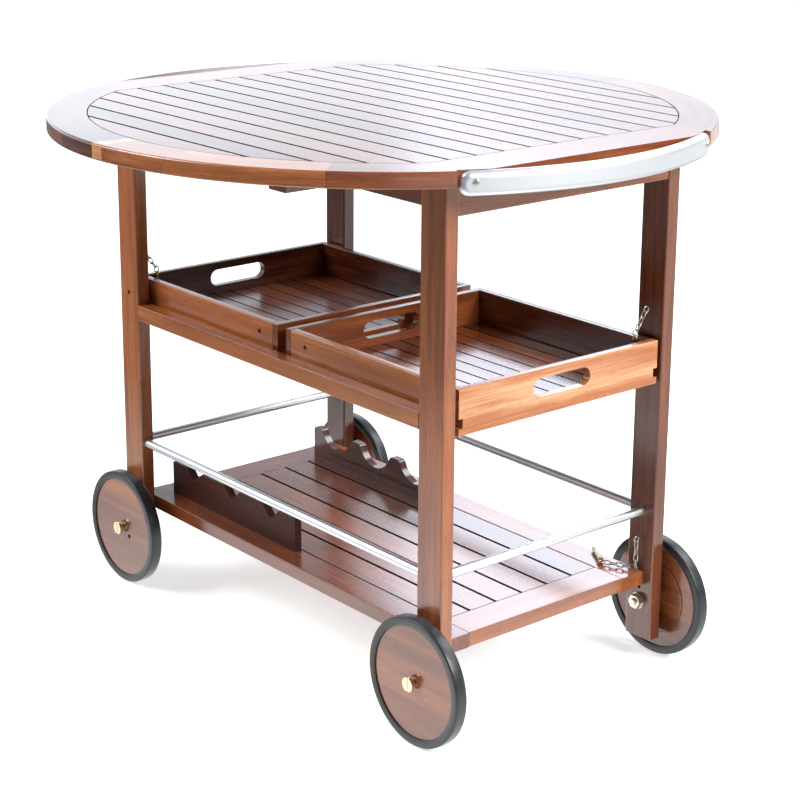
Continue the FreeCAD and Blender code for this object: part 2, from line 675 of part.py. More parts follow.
def cross_edges(shape, height):
    """Names of the edges across a rack board at one height."""
    return [name for name in edges_along(shape, "y")
            if abs(shape.getElement(name).CenterOfMass.z - height) < TINY]


# square notches stood on a corner make the V-shaped neck rests
neck_board = rack_board("rack_neck_board", neck_front, neck_top)
for middle in rack_rests:
    notch = neck_board.newObject("PartDesign::SubtractiveBox", "Notch")
    notch.Placement = FreeCAD.Placement(Vector(), Rotation(Vector(0, 1, 0), -45))
    bind(notch, Length="2 * Sizes.neck_depth", Width="Sizes.rack_thick", Height="2 * Sizes.neck_depth")
    put(notch, middle, neck_front, f"{neck_top} - Sizes.neck_depth")
doc.recompute()
notch_floor = worked_out(f"{neck_top} - Sizes.neck_depth")
round_edges(neck_board, cross_edges(neck_board.Tip.Shape, notch_floor), "Sizes.neck_floor_round")
doc.recompute()
round_edges(neck_board, cross_edges(neck_board.Tip.Shape, worked_out(neck_top)), "Sizes.neck_round")

bottle_board = rack_board("rack_bottle_board", bottle_front, bottle_top)
for middle in rack_rests:
    low = f"{bottle_top} - Sizes.bottle_depth + Sizes.bottle_radius"
    bore(bottle_board, "y", (middle, bottle_front, low), "Sizes.bottle_radius", "Sizes.rack_thick")
doc.recompute()
round_edges(bottle_board, cross_edges(bottle_board.Tip.Shape, worked_out(bottle_top)), "Sizes.bottle_round")
keep(neck_board, bottle_board)

# trays, each in a frame of its own: x outwards from its inner end, z up from its underside
tray_z = ("0", "Sizes.tray_deep")
groove_z = ("Sizes.groove_rise", "Sizes.groove_rise + Sizes.groove_tall")
floor_z = ("Sizes.floor_rise", "Sizes.floor_rise + Sizes.floor_thick")
tray_in_x = ("Sizes.tray_board", f"{TRAY_LONG} - Sizes.tray_board")


def place_tray_piece(piece, side):
    """Set a tray's piece on the runners; the two trays face away from each other."""
    if side < 0:
        piece.Placement = FreeCAD.Placement(Vector(), HALF_TURN)
    put(piece, f"{side} * Sizes.tray_middle_gap / 2", "0", TRAY_BOTTOM)
    keep(piece)


def tray_end(label, x, inward):
    """An end board with a hand-hole, runner notches and a housing for the floor slats."""
    body = board(label, x, (f"-{TRAY_HALF}", TRAY_HALF), tray_z, "y")
    hole_run = "(Sizes.hand_hole_wide - Sizes.hand_hole_tall)"
    box_feature(body, "Subtractive", x, about("0", hole_run),
                about("Sizes.hand_hole_rise", "Sizes.hand_hole_tall"))
    for side in (-1, 1):
        bore(body, "x", (x[0], f"{side} * {hole_run} / 2", "Sizes.hand_hole_rise"),
             "Sizes.hand_hole_tall / 2", "Sizes.tray_board")
        notch_y = span(side, f"{TRAY_HALF} - Sizes.groove_deep", TRAY_HALF)
        box_feature(body, "Subtractive", x, notch_y, groove_z)
    housing = (f"{x[1]} - Sizes.floor_housing", x[1])
    if inward < 0:
        housing = (x[0], f"{x[0]} + Sizes.floor_housing")
    box_feature(body, "Subtractive", housing, (f"-{TRAY_IN_Y}", TRAY_IN_Y),
                (f"{floor_z[0]} - Sizes.housing_fit", f"{floor_z[1]} + Sizes.housing_fit"))
    return body


def tray_side(label, side):
    """A side board, grooved outside for the runner and drilled for the lock pin."""
    y = span(side, TRAY_IN_Y, TRAY_HALF)
    body = board(label, tray_in_x, y, tray_z, "x")
    groove_y = span(side, f"{TRAY_HALF} - Sizes.groove_deep", TRAY_HALF)
    box_feature(body, "Subtractive", tray_in_x, groove_y, groove_z)
    bore(body, "y", ("Sizes.tray_pin_inset", y[0], "Sizes.tray_pin_rise"), PIN_HOLE, "Sizes.tray_board")
    return body


floor_pitch = f"((2 * {TRAY_IN_Y} - Sizes.floor_gap) / {FLOOR_SLATS})"
floor_x = (f"{tray_in_x[0]} - Sizes.floor_housing + Sizes.housing_fit",
           f"{tray_in_x[1]} + Sizes.floor_housing - Sizes.housing_fit")
for name, side in SIDES_X.items():
    place_tray_piece(tray_end(f"tray_{name}_inner_end", ("0", "Sizes.tray_board"), 1), side)
    place_tray_piece(tray_end(f"tray_{name}_outer_end", (tray_in_x[1], TRAY_LONG), -1), side)
    for name_y, side_y in SIDES_Y.items():
        place_tray_piece(tray_side(f"tray_{name}_{name_y}_side", side * side_y), side)
    floor = []
    for k in range(FLOOR_SLATS):
        slat_y = about(f"{floor_pitch} * {k - (FLOOR_SLATS - 1) / 2}", f"{floor_pitch} - Sizes.floor_gap")
        floor.append(part_box(f"floor_slat_{name}_{k + 1}", floor_x, slat_y, floor_z))
    place_tray_piece(group(f"tray_{name}_floor", floor), side)

# wheels: wooden discs in rubber tyres, turning on shouldered bolts through the legs
OUTWARDS = {"front": Rotation(Vector(1, 0, 0), 90), "back": Rotation(Vector(1, 0, 0), -90)}
disc_half = "(Sizes.disc_thick / 2)"
tyre_half = "(Sizes.tyre_wide / 2)"
groove_low = "(Sizes.disc_groove_radius - Sizes.disc_groove_wide / 2)"
groove_high = "(Sizes.disc_groove_radius + Sizes.disc_groove_wide / 2)"
groove_floor = f"(Sizes.disc_groove_deep - {disc_half})"
lip_radius = f"({DISC_RADIUS} - Sizes.tyre_lip)"
rim_radius = f"({DISC_RADIUS} + Sizes.tyre_fit)"
rim_half = f"({disc_half} + Sizes.tyre_fit)"
axle_radius = "Sizes.axle_diameter / 2"
axle_bore = f"{axle_radius} + Sizes.run_fit"
axle_low = (f"-({tyre_half} + Sizes.wheel_gap + Sizes.leg_thick + Sizes.washer_thick"
            " + Sizes.nut_thick + Sizes.axle_stub)")
collar_low = f"({disc_half} + Sizes.run_gap)"
head_low = f"({collar_low} + Sizes.axle_collar_long)"
head_high = f"({head_low} + Sizes.axle_head_thick)"
spacer_thick = f"(Sizes.wheel_gap + {tyre_half} - {disc_half} - Sizes.run_gap)"


def place_at_wheel(piece, name_x, name_y):
    piece.Placement = FreeCAD.Placement(Vector(), OUTWARDS[name_y])
    put(piece, f"{SIDES_X[name_x]} * {LEG_MID_X}", f"{SIDES_Y[name_y]} * {WHEEL_MID_Y}", "Sizes.wheel_radius")
    return piece


def wheel_disc(label, locking):
    body = new_body(label)
    turned(body, [(axle_bore, f"-{disc_half}"), (groove_low, f"-{disc_half}"), (groove_low, groove_floor),
                  (groove_high, groove_floor), (groove_high, f"-{disc_half}"), (DISC_RADIUS, f"-{disc_half}"),
                  (DISC_RADIUS, disc_half), (axle_bore, disc_half)])
    if locking:
        way = [f"Sizes.lock_radius * {part}(Sizes.lock_hole_turn * 1 deg)" for part in ("cos", "sin")]
        bore(body, "z", (*way, f"-{disc_half}"), PIN_HOLE, "Sizes.disc_thick")
    return body


def tyre(label):
    body = new_body(label)
    turned(body, [(lip_radius, f"-{tyre_half}"), ("Sizes.wheel_radius", f"-{tyre_half}"),
                  ("Sizes.wheel_radius", tyre_half), (lip_radius, tyre_half), (lip_radius, rim_half),
                  (rim_radius, rim_half), (rim_radius, f"-{rim_half}"), (lip_radius, f"-{rim_half}")])
    shoulders = [f"Edge{number}" for number, edge in enumerate(body.Tip.Shape.Edges, start=1)
                 if isinstance(edge.Curve, Part.Circle)
                 and abs(edge.Curve.Radius - size("wheel_radius")) < TINY]
    round_edges(body, shoulders, "Sizes.tyre_round")
    return body


def axle_bolt(label):
    body = new_body(label)
    turned(body, [("0", axle_low), (axle_radius, axle_low), (axle_radius, collar_low),
                  ("Sizes.axle_collar / 2", collar_low), ("Sizes.axle_collar / 2", head_low),
                  ("Sizes.axle_head / 2", head_low), ("Sizes.axle_head / 2", head_high), ("0", head_high)])
    box_feature(body, "Subtractive", about("0", "Sizes.axle_slot"), about("0", "Sizes.axle_head"),
                (f"{head_high} - Sizes.axle_slot", head_high))
    return body


bolts = []
spacers = []
washers = []
nuts = []
bolt_hole = f"{axle_radius} + Sizes.snug_fit"
for name_x, side_x in SIDES_X.items():
    for name_y, side_y in SIDES_Y.items():
        corner = f"{name_y}_{name_x}"
        disc = wheel_disc(f"wheel_disc_{corner}", (name_x, name_y) in LOCK_CORNERS)
        keep(place_at_wheel(disc, name_x, name_y))
        keep(place_at_wheel(tyre(f"tyre_{corner}"), name_x, name_y))
        bolts.append(place_at_wheel(axle_bolt(f"axle_bolt_{corner}"), name_x, name_y))
        x = f"{side_x} * {LEG_MID_X}"
        spacer_y = span(side_y, LEG_OUT_Y, f"{LEG_OUT_Y} + {spacer_thick}")[0]
        washer_y = span(side_y, f"{LEG_IN_Y} - Sizes.washer_thick", LEG_IN_Y)[0]
        nut_y = span(side_y, f"{LEG_IN_Y} - Sizes.washer_thick - Sizes.nut_thick",
                     f"{LEG_IN_Y} - Sizes.washer_thick")[0]
        spacers.append(ring(f"spacer_{corner}", "y", (x, spacer_y, "Sizes.wheel_radius"),
                            "Sizes.spacer_diameter / 2", bolt_hole, spacer_thick))
        washers.append(ring(f"washer_{corner}", "y", (x, washer_y, "Sizes.wheel_radius"),
                            "Sizes.washer_diameter / 2", bolt_hole, "Sizes.washer_thick"))
        hexagon = doc.addObject("Part::Prism", f"nut_blank_{corner}")
        hexagon.Polygon = 6
        hexagon.Placement = FreeCAD.Placement(Vector(), ALONG["y"])
        bind(hexagon, Circumradius="Sizes.nut_across / 2 / cos(30 deg)", Height="Sizes.nut_thick")
        put(hexagon, x, nut_y, "Sizes.wheel_radius")
        thread = part_rod(f"nut_hole_{corner}", "y", (x, nut_y, "Sizes.wheel_radius"), bolt_hole,
                          "Sizes.nut_thick")
        nuts.append(boolean("Cut", f"nut_{corner}", hexagon, thread))
keep(group("axle_bolts", bolts), group("axle_washers", spacers + washers), group("axle_nuts", nuts))

# handles: curved bars that carry the round of the top past its straight ends
handle_top = "(Sizes.top_height - Sizes.handle_drop)"
handle_low = f"({handle_top} - Sizes.handle_tall)"
screws = []
for name, turn in (("left", "180 deg"), ("right", "0 deg")):
    bar = new_body(f"handle_bar_{name}")
    sweep = turned(bar, [(HANDLE_IN, handle_low), (HANDLE_OUT, handle_low), (HANDLE_OUT, handle_top),
                         (HANDLE_IN, handle_top)], f"2 * {HANDLE_HALF}", True)
    corners = [f"Edge{number}" for number, edge in enumerate(sweep.Shape.Edges, start=1)
               if isinstance(edge.Curve, Part.Line) and abs(edge.Curve.Direction.z) < TINY]
    rounded = round_edges(bar, corners, "Sizes.handle_end_round")
    doc.recompute()
    face = next(face for face in rounded.Shape.Faces
                if isinstance(face.Surface, Part.Cylinder)
                and abs(face.Surface.Radius - worked_out(HANDLE_OUT)) < TINY)
    rim = [f"Edge{number}" for number, edge in enumerate(rounded.Shape.Edges, start=1)
           if any(edge.isSame(other) for other in face.Edges)]
    round_edges(bar, rim, "Sizes.handle_face_round")
    about_z(bar, turn)
    hole_high = f"{HANDLE_OUT} + Sizes.handle_thick"
    holes = [radial_rod(f"handle_hole_{name}_{k}", angle, screw_low, hole_high, screw_hole)
             for k, angle in enumerate(handle_screw_angles[name])]
    keep(boolean("Cut", f"handle_{name}", bar, group(f"handle_holes_{name}", holes)))
    for k, angle in enumerate(handle_screw_angles[name]):
        shank = part_rod("screw_shank", "x", (screw_low, "0", HANDLE_SCREW_Z),
                         "Sizes.handle_screw_diameter / 2", f"{HANDLE_OUT} - ({screw_low})")
        head = part_rod("screw_head", "x", (HANDLE_OUT, "0", HANDLE_SCREW_Z), "Sizes.handle_screw_head / 2",
                        "Sizes.handle_screw_head_thick")
        screws.append(about_z(boolean("Fuse", f"handle_screw_{name}_{k}", shank, head), angle))
keep(group("handle_screws", screws))

# lock pins on chains, at two opposite corners
def wire_ring(body):
    """Add a ring of bent wire round the body's own x axis."""
    turns = [f"{k} * 360 deg / {WIRE_SIDES}" for k in range(WIRE_SIDES)]
    section = outline(body, "XY_Plane", [
        (f"Sizes.ring_wire / 2 * cos({turn})", f"Sizes.ring_radius + Sizes.ring_wire / 2 * sin({turn})")
        for turn in turns])
    loop = body.newObject("PartDesign::Revolution", "Ring")
    loop.Profile = section
    loop.ReferenceAxis = (section, ["H_Axis"])
    bind(loop, Angle="360 deg")


def lock_pin(label):
    """A pin that hangs below its ring, whose middle is the origin."""
    body = new_body(label)
    low = "Sizes.ring_radius"
    neck = f"({low} + Sizes.pin_head_long)"
    end = f"({neck} + Sizes.pin_long)"
    head = "Sizes.pin_head / 2"
    shank = "Sizes.pin_diameter / 2"
    turned(body, [("0", f"-{low}"), (head, f"-{low}"), (head, f"-{neck}"), (shank, f"-{neck}"),
                  (shank, f"Sizes.pin_tip - {end}"), (f"{shank} - Sizes.pin_tip", f"-{end}"),
                  ("0", f"-{end}")])
    wire_ring(body)
    return body


def screw_eye(label, side, height):
    """A ring on a shank that runs into the leg."""
    body = new_body(label)
    wire_ring(body)
    shank = body.newObject("PartDesign::AdditiveCylinder", "Shank")
    shank.Placement = FreeCAD.Placement(Vector(), ALONG["y"])
    bind(shank, Radius="Sizes.eye_shank / 2", Height="Sizes.eye_reach + Sizes.eye_in_leg - Sizes.ring_radius")
    put(shank, "0", "Sizes.ring_radius", "0")
    if side < 0:
        body.Placement = FreeCAD.Placement(Vector(), HALF_TURN)
    put(body, f"{side} * {LEG_MID_X}", f"{side} * {EYE_Y}", height)
    return body


def rounded_oblong(half_run, half_wide):
    """A flat face with straight sides and half-round ends."""
    corners = [Vector(x * half_run, y * half_wide, 0) for x, y in ((-1, 1), (1, 1), (1, -1), (-1, -1))]
    tip = Vector(half_run + half_wide, 0, 0)
    edges = [Part.LineSegment(corners[0], corners[1]), Part.Arc(corners[1], tip, corners[2]),
             Part.LineSegment(corners[2], corners[3]), Part.Arc(corners[3], tip.negative(), corners[0])]
    return Part.Face(Part.Wire([edge.toShape() for edge in edges]))


def chain_link(middle, along, across):
    """One flat link, standing in the plane of along and across."""
    thick = size("link_wire")
    half_wide = size("link_wide") / 2
    half_run = size("link_long") / 2 - half_wide
    face = rounded_oblong(half_run, half_wide).cut(rounded_oblong(half_run, half_wide - thick))
    solid = face.extrude(Vector(0, 0, thick))
    solid.translate(Vector(0, 0, -thick / 2))
    turn = Rotation(along, across, along.cross(across), "XYZ")
    solid.Placement = FreeCAD.Placement(middle, turn) * solid.Placement
    return solid


UP = Vector(0, 0, 1)
DOWN = Vector(0, 0, -1)
ALONG_X = Vector(1, 0, 0)
ALONG_Y = Vector(0, 1, 0)
link_pitch = worked_out(LINK_PITCH)
from_ring = worked_out(LINK_FROM_RING)
wheel_eye = Vector(worked_out(LEG_MID_X), worked_out(EYE_Y), worked_out(WHEEL_EYE_HEIGHT))
tray_eye = Vector(wheel_eye.x, wheel_eye.y, size("tray_eye_height"))


def link_across(along, k):
    """Which way a link lies across its run: every second link is turned by a quarter."""
    level = (ALONG_X - along * ALONG_X.dot(along)).normalize()
    return along.cross(level) if k % 2 else level


def lying_chain():
    """Links that hang down the leg, twisting as they go, and then lie along the shelf."""
    placed = []
    turn = size("lying_chain_turn")
    lowest = LYING_CHAIN_HANGING - 1
    for k in range(LYING_CHAIN_HANGING):
        twist = Rotation(UP, turn * k / lowest)
        middle = wheel_eye + DOWN * (from_ring + link_pitch * k)
        placed.append((middle, UP, twist.multVec(ALONG_Y if k % 2 else ALONG_X)))
    away = Rotation(UP, turn).multVec(ALONG_X.negative())
    corner = Vector(wheel_eye.x, wheel_eye.y, worked_out(LYING_HEIGHT))
    for k in range(LYING_CHAIN_LYING):
        middle = corner + away * (worked_out(FIRST_LYING) + link_pitch * k)
        placed.append((middle, away, away.cross(UP) if k % 2 else UP))
    return placed


def hung_chain():
    """Links that lean out over the end of the shelf, and then drop beside it, a little slack at the bend."""
    fall = Vector(0, -size("hung_chain_in"), -size("hung_chain_drop"))
    bend = wheel_eye + fall + ALONG_X * size("hung_chain_out")
    wire = wheel_eye + fall.normalize() * size("ring_radius")
    lean = (bend - wire).Length
    slope = (bend - wire).normalize()
    placed = []
    for k in range(HUNG_CHAIN_LINKS):
        reach = from_ring - size("ring_radius") + link_pitch * k
        if reach < lean:
            placed.append((wire + slope * reach, slope, link_across(slope, k)))
        else:
            drop = reach - lean - size("link_gap")
            placed.append((bend + DOWN * drop, DOWN, link_across(DOWN, k)))
    return placed


def tray_chain():
    """Links that lean from the leg into the tray's corner."""
    lean = math.radians(size("tray_chain_lean"))
    slope = Vector(0, -math.sin(lean), -math.cos(lean))
    reaches = [from_ring + link_pitch * k for k in range(TRAY_CHAIN_LINKS)]
    return [(tray_eye + slope * reach, slope, link_across(slope, k)) for k, reach in enumerate(reaches)]


eyes = []
links = []
for name_x, name_y in LOCK_CORNERS:
    side = SIDES_X[name_x]
    turn = Rotation() if side > 0 else HALF_TURN
    corner = f"{name_y}_{name_x}"
    eyes.append(screw_eye(f"wheel_eye_{corner}", side, WHEEL_EYE_HEIGHT))
    eyes.append(screw_eye(f"tray_eye_{corner}", side, "Sizes.tray_eye_height"))

    # the back wheel's pin lies on the shelf, and the front wheel's hangs over the end of the shelf
    wheel_pin = lock_pin(f"wheel_lock_pin_{corner}")
    if name_y == "back":
        pin_turn = Rotation(UP, size("lying_pin_turn"))
        lying = Rotation(UP, ALONG_Y.negative(), ALONG_X, "XYZ")
        wheel_pin.Placement = FreeCAD.Placement(Vector(), turn * pin_turn * lying)
        away = "(Sizes.lying_chain_turn * 1 deg)"
        put(wheel_pin, f"{side} * ({LEG_MID_X} - {LYING_REACH} * cos({away}))",
            f"{side} * ({EYE_Y} - {LYING_REACH} * sin({away}))", LYING_HEIGHT)
    else:
        wheel_pin.Placement = FreeCAD.Placement(Vector(), turn * Rotation(UP, 90))
        put(wheel_pin, f"{side} * ({LEG_MID_X} + Sizes.hung_chain_out)",
            f"{side} * ({EYE_Y} - Sizes.hung_chain_in)",
            f"{WHEEL_EYE_HEIGHT} - Sizes.hung_chain_drop - {HUNG_BELOW}")

    # the tray's pin hangs inside the tray's corner
    tray_pin = lock_pin(f"tray_lock_pin_{corner}")
    chain_long = f"(2 * {LINK_FROM_RING} + {TRAY_CHAIN_LINKS - 1} * {LINK_PITCH})"
    lean = "(Sizes.tray_chain_lean * 1 deg)"
    tray_pin.Placement = FreeCAD.Placement(Vector(), turn)
    put(tray_pin, f"{side} * {LEG_MID_X}", f"{side} * ({EYE_Y} - {chain_long} * sin({lean}))",
        f"Sizes.tray_eye_height - {chain_long} * cos({lean})")
    keep(wheel_pin, tray_pin)

    placed = tray_chain() + (lying_chain() if name_y == "back" else hung_chain())
    for middle, along, across in placed:
        links.append(chain_link(turn.multVec(middle), turn.multVec(along), turn.multVec(across)))
keep(group("lock_screw_eyes", eyes))
chains = doc.addObject("Part::Feature", "lock_chains")
chains.Label = "lock_chains"
chains.Shape = Part.Compound(links)
keep(chains)

# every object is sound before anything is written
doc.recompute()
for item in doc.Objects:
    if "Invalid" in item.State or "Error" in item.State:
        raise RuntimeError(f"{item.Label} failed: {item.State}")
for node in nodes:
    if node.Shape.isNull() or not node.Shape.isValid():
        raise RuntimeError(f"{node.Label} has no valid shape")
os.makedirs("parts", exist_ok=True)
for node in nodes:
    node.Shape.exportStep(f"parts/{node.Label}.step")
print(len(nodes), "nodes written")
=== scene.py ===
"""Outdoor bar cart: finishes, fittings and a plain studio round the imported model.

Metres, in the model's own frame: the floor is at z 0, +X points at the right handle
and -Y at the front long side.
"""
import json
import math

import bmesh
import bpy
import numpy as np
from mathutils import Matrix, Vector

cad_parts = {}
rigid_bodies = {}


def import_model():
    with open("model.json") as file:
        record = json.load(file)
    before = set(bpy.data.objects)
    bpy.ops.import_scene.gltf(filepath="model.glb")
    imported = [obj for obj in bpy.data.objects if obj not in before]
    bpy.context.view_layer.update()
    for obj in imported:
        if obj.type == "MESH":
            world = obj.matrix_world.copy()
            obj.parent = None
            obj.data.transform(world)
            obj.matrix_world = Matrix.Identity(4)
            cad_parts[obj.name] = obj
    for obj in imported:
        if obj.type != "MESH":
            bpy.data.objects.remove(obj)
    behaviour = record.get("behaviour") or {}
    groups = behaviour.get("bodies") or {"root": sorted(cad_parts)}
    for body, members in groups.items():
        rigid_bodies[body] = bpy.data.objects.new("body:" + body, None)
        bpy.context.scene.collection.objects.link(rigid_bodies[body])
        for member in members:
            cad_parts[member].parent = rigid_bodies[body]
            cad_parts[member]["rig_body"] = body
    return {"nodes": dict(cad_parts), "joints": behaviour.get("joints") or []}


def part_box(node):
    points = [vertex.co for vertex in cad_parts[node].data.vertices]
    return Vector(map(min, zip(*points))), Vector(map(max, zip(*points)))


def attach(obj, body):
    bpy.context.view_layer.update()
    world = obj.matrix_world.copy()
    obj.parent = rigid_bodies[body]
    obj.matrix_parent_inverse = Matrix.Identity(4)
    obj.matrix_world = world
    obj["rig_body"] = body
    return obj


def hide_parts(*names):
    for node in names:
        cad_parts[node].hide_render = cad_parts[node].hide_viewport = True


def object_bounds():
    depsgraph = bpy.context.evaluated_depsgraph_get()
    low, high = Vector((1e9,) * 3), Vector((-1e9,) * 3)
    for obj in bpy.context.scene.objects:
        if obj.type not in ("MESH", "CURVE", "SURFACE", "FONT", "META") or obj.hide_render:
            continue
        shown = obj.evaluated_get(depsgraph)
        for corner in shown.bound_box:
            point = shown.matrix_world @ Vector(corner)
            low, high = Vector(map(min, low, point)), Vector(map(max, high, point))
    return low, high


bl_info = {
    "name": "Outdoor bar cart",
    "version": (1, 0, 0),
    "blender": (4, 5, 0),
    "location": "View3D > Sidebar > Bar cart",
    "description": "Finishes an oiled hardwood bar cart and sets up its studio",
    "category": "Object",
}

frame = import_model()
nodes = frame["nodes"]
CAD_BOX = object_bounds()
MM = 0.001
# corners sharper than this stay crisp, and flat faces that meet at less than the second angle are one face
CRISP = math.radians(38)
FLAT = math.radians(1)
# points closer than this are one point
CLOSE = 0.01 * MM


def linear(code):
    """An sRGB hex colour as linear red, green, blue and alpha."""
    parts = [int(code[k:k + 2], 16) / 255 for k in (1, 3, 5)]
    return (*[part / 12.92 if part <= 0.04045 else ((part + 0.055) / 1.055) ** 2.4 for part in parts], 1.0)


def per_mm(size):
    """A texture scale whose features are about this many millimetres wide."""
    return 1 / (size * MM)


def add_node(tree, kind, inputs=None, stops=None, hard=False, **settings):
    """Adds a shader node, sets its properties and ramp stops, and sets or links its inputs."""
    node = tree.nodes.new("ShaderNode" + kind)
    for name, value in settings.items():
        setattr(node, name, value)
    if stops:
        ramp = node.color_ramp
        ramp.interpolation = "CONSTANT" if hard else "LINEAR"
        while len(ramp.elements) < len(stops):
            ramp.elements.new(1.0)
        for element, (place, shade) in zip(ramp.elements, stops):
            element.position = place
            element.color = shade
    for key, value in (inputs or {}).items():
        if isinstance(value, bpy.types.NodeSocket):
            tree.links.new(value, node.inputs[key])
        else:
            node.inputs[key].default_value = value
    return node


def new_material(name):
    """A material with an empty node tree, and its output node."""
    material = bpy.data.materials.new(name)
    material.use_nodes = True
    material.node_tree.nodes.clear()
    return material, add_node(material.node_tree, "OutputMaterial")


def finish_with(piece, material):
    """Gives a piece one material."""
    piece.data.materials.clear()
    piece.data.materials.append(material)


def new_piece(name, shape, body, slot, *stands_for):
    """Makes a bmesh into a piece with crisp corners, which rides on a body and stands for nodes."""
    mesh = bpy.data.meshes.new(name)
    shape.to_mesh(mesh)
    shape.free()
    mesh.shade_smooth()
    mesh.set_sharp_from_angle(angle=CRISP)
    piece = bpy.data.objects.new(name, mesh)
    bpy.context.scene.collection.objects.link(piece)
    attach(piece, body)
    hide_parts(*stands_for)
    return piece


def named(*starts):
    """The model's nodes whose names start with one of these words."""
    return [piece for name, piece in sorted(nodes.items()) if name.startswith(starts)]


class CartWood(bpy.types.PropertyGroup):
    """Colours and sizes of the oiled hardwood."""

    dark: bpy.props.FloatVectorProperty(
        name="Dark streaks", description="Colour of the darkest boards and streaks", subtype="COLOR",
        size=4, min=0, max=1, default=linear("#3A140A"))
    body: bpy.props.FloatVectorProperty(
        name="Body", description="Main colour of the boards", subtype="COLOR",
        size=4, min=0, max=1, default=linear("#804324"))
    light: bpy.props.FloatVectorProperty(
        name="Light boards", description="Colour of the lighter, orange boards", subtype="COLOR",
        size=4, min=0, max=1, default=linear("#AF6533"))
    pale: bpy.props.FloatVectorProperty(
        name="Sapwood", description="Colour of the palest sapwood boards", subtype="COLOR",
        size=4, min=0, max=1, default=linear("#D6A376"))
    # painted shade for the slats' sides, where the narrow gaps between slats fall into shadow
    gap: bpy.props.FloatVectorProperty(
        name="Gaps", description="Colour of the oil in the gaps between slats", subtype="COLOR",
        size=4, min=0, max=1, default=linear("#140805"))
    figure_long: bpy.props.FloatProperty(
        name="Figure length", description="Length of the broad grain figure", unit="LENGTH", default=260 * MM)
    figure_wide: bpy.props.FloatProperty(
        name="Figure width", description="Width of the broad grain figure", unit="LENGTH", default=22 * MM)
    edge: bpy.props.FloatProperty(
        name="Eased edge", description="Rounding of the edges of rails and tray boards", unit="LENGTH",
        default=0.8 * MM)
    slat_edge: bpy.props.FloatProperty(
        name="Slat edge", description="Rounding of the edges of the slats", unit="LENGTH", default=0.4 * MM)
    gloss: bpy.props.FloatProperty(
        name="Gloss", description="How much of a smooth coat the oil leaves", subtype="FACTOR", min=0, max=1,
        default=0.5)


class CartFittings(bpy.types.PropertyGroup):
    """Colours and sizes of the metal and rubber."""

    aluminium: bpy.props.FloatVectorProperty(
        name="Aluminium", description="Colour of the handles and tubes", subtype="COLOR",
        size=4, min=0, max=1, default=linear("#D3D5D8"))
    brass: bpy.props.FloatVectorProperty(
        name="Brass", description="Colour of the axle bolts", subtype="COLOR",
        size=4, min=0, max=1, default=linear("#DDD0AC"))
    pin: bpy.props.FloatVectorProperty(
        name="Pin", description="Colour of the lock pins, brass under a thin nickel plate", subtype="COLOR",
        size=4, min=0, max=1, default=linear("#C2B096"))
    steel: bpy.props.FloatVectorProperty(
        name="Steel", description="Colour of the plated screws, eyes and chains", subtype="COLOR",
        size=4, min=0, max=1, default=linear("#B9B3A9"))
    rubber: bpy.props.FloatVectorProperty(
        name="Rubber", description="Colour of the tyres", subtype="COLOR",
        size=4, min=0, max=1, default=linear("#1B1D1F"))
    shoulder: bpy.props.FloatProperty(
        name="Tyre shoulder", description="Rounding of the tyres' outer edges", unit="LENGTH",
        default=2.0 * MM)
    link_wire: bpy.props.FloatProperty(
        name="Chain wire", description="Thickness of the chain's wire", unit="LENGTH", default=1.8 * MM)
    ring_wire: bpy.props.FloatProperty(
        name="Ring wire", description="Thickness of the rings and eyes", unit="LENGTH", default=2.0 * MM)
    ring_radius: bpy.props.FloatProperty(
        name="Ring radius", description="Radius of the rings and eyes, to the wire's middle", unit="LENGTH",
        default=4.5 * MM)
    socket: bpy.props.FloatProperty(
        name="Socket", description="Radius of the hexagon socket in the handle screws", unit="LENGTH",
        default=1.9 * MM)


class CartStudio(bpy.types.PropertyGroup):
    """Camera and light levels."""

    camera_place: bpy.props.FloatVectorProperty(
        name="Camera", description="Where the camera stands", subtype="XYZ", unit="LENGTH",
        default=(2.1585, -1.7727, 1.2460))
    camera_azimuth: bpy.props.FloatProperty(
        name="Azimuth", description="Camera's turn about the upright axis", unit="ROTATION",
        default=math.radians(50.07))
    camera_elevation: bpy.props.FloatProperty(
        name="Elevation", description="How far the camera looks down", unit="ROTATION",
        default=math.radians(15.60))
    camera_roll: bpy.props.FloatProperty(
        name="Roll", description="Camera's turn about its own line of sight", unit="ROTATION",
        default=math.radians(0.44))
    camera_lens: bpy.props.FloatProperty(
        name="Lens", description="Focal length in millimetres on a 36 mm sensor", unit="CAMERA", default=88.7)
    camera_shift: bpy.props.FloatProperty(
        name="Shift", description="Lens shift that keeps the legs upright", default=-0.1)
    room: bpy.props.FloatProperty(
        name="Room light", description="Even light that reaches the cart from all round", default=0.12)


# each board's grain direction, and how light it is compared with the rest: partly its own tone, partly
# painted shade on boards that stand in shade (the back left leg, the rack) and painted light on faces the
# lamps light (the front left leg, the front mid rail)
BOARDS = {
    "end_apron_left": ("y", -0.02), "end_apron_right": ("y", 0.12),
    "long_apron_front": ("x", 0.0), "long_apron_back": ("x", -0.05),
    "leg_front_left": ("z", 0.17), "leg_front_right": ("z", 0.02),
    "leg_back_left": ("z", -0.32), "leg_back_right": ("z", -0.05),
    "mid_rail_front": ("x", 0.13), "mid_rail_back": ("x", -0.02),
    "tray_runners": ("x", 0.0), "top_battens": ("y", 0.0), "frame_dowels": ("x", 0.0),
    "shelf_side_rail_front": ("x", 0.02), "shelf_side_rail_back": ("x", 0.05),
    "shelf_end_rail_left": ("y", 0.0), "shelf_end_rail_right": ("y", -0.01),
    "rack_neck_board": ("x", -0.30), "rack_bottle_board": ("x", -0.40),
}
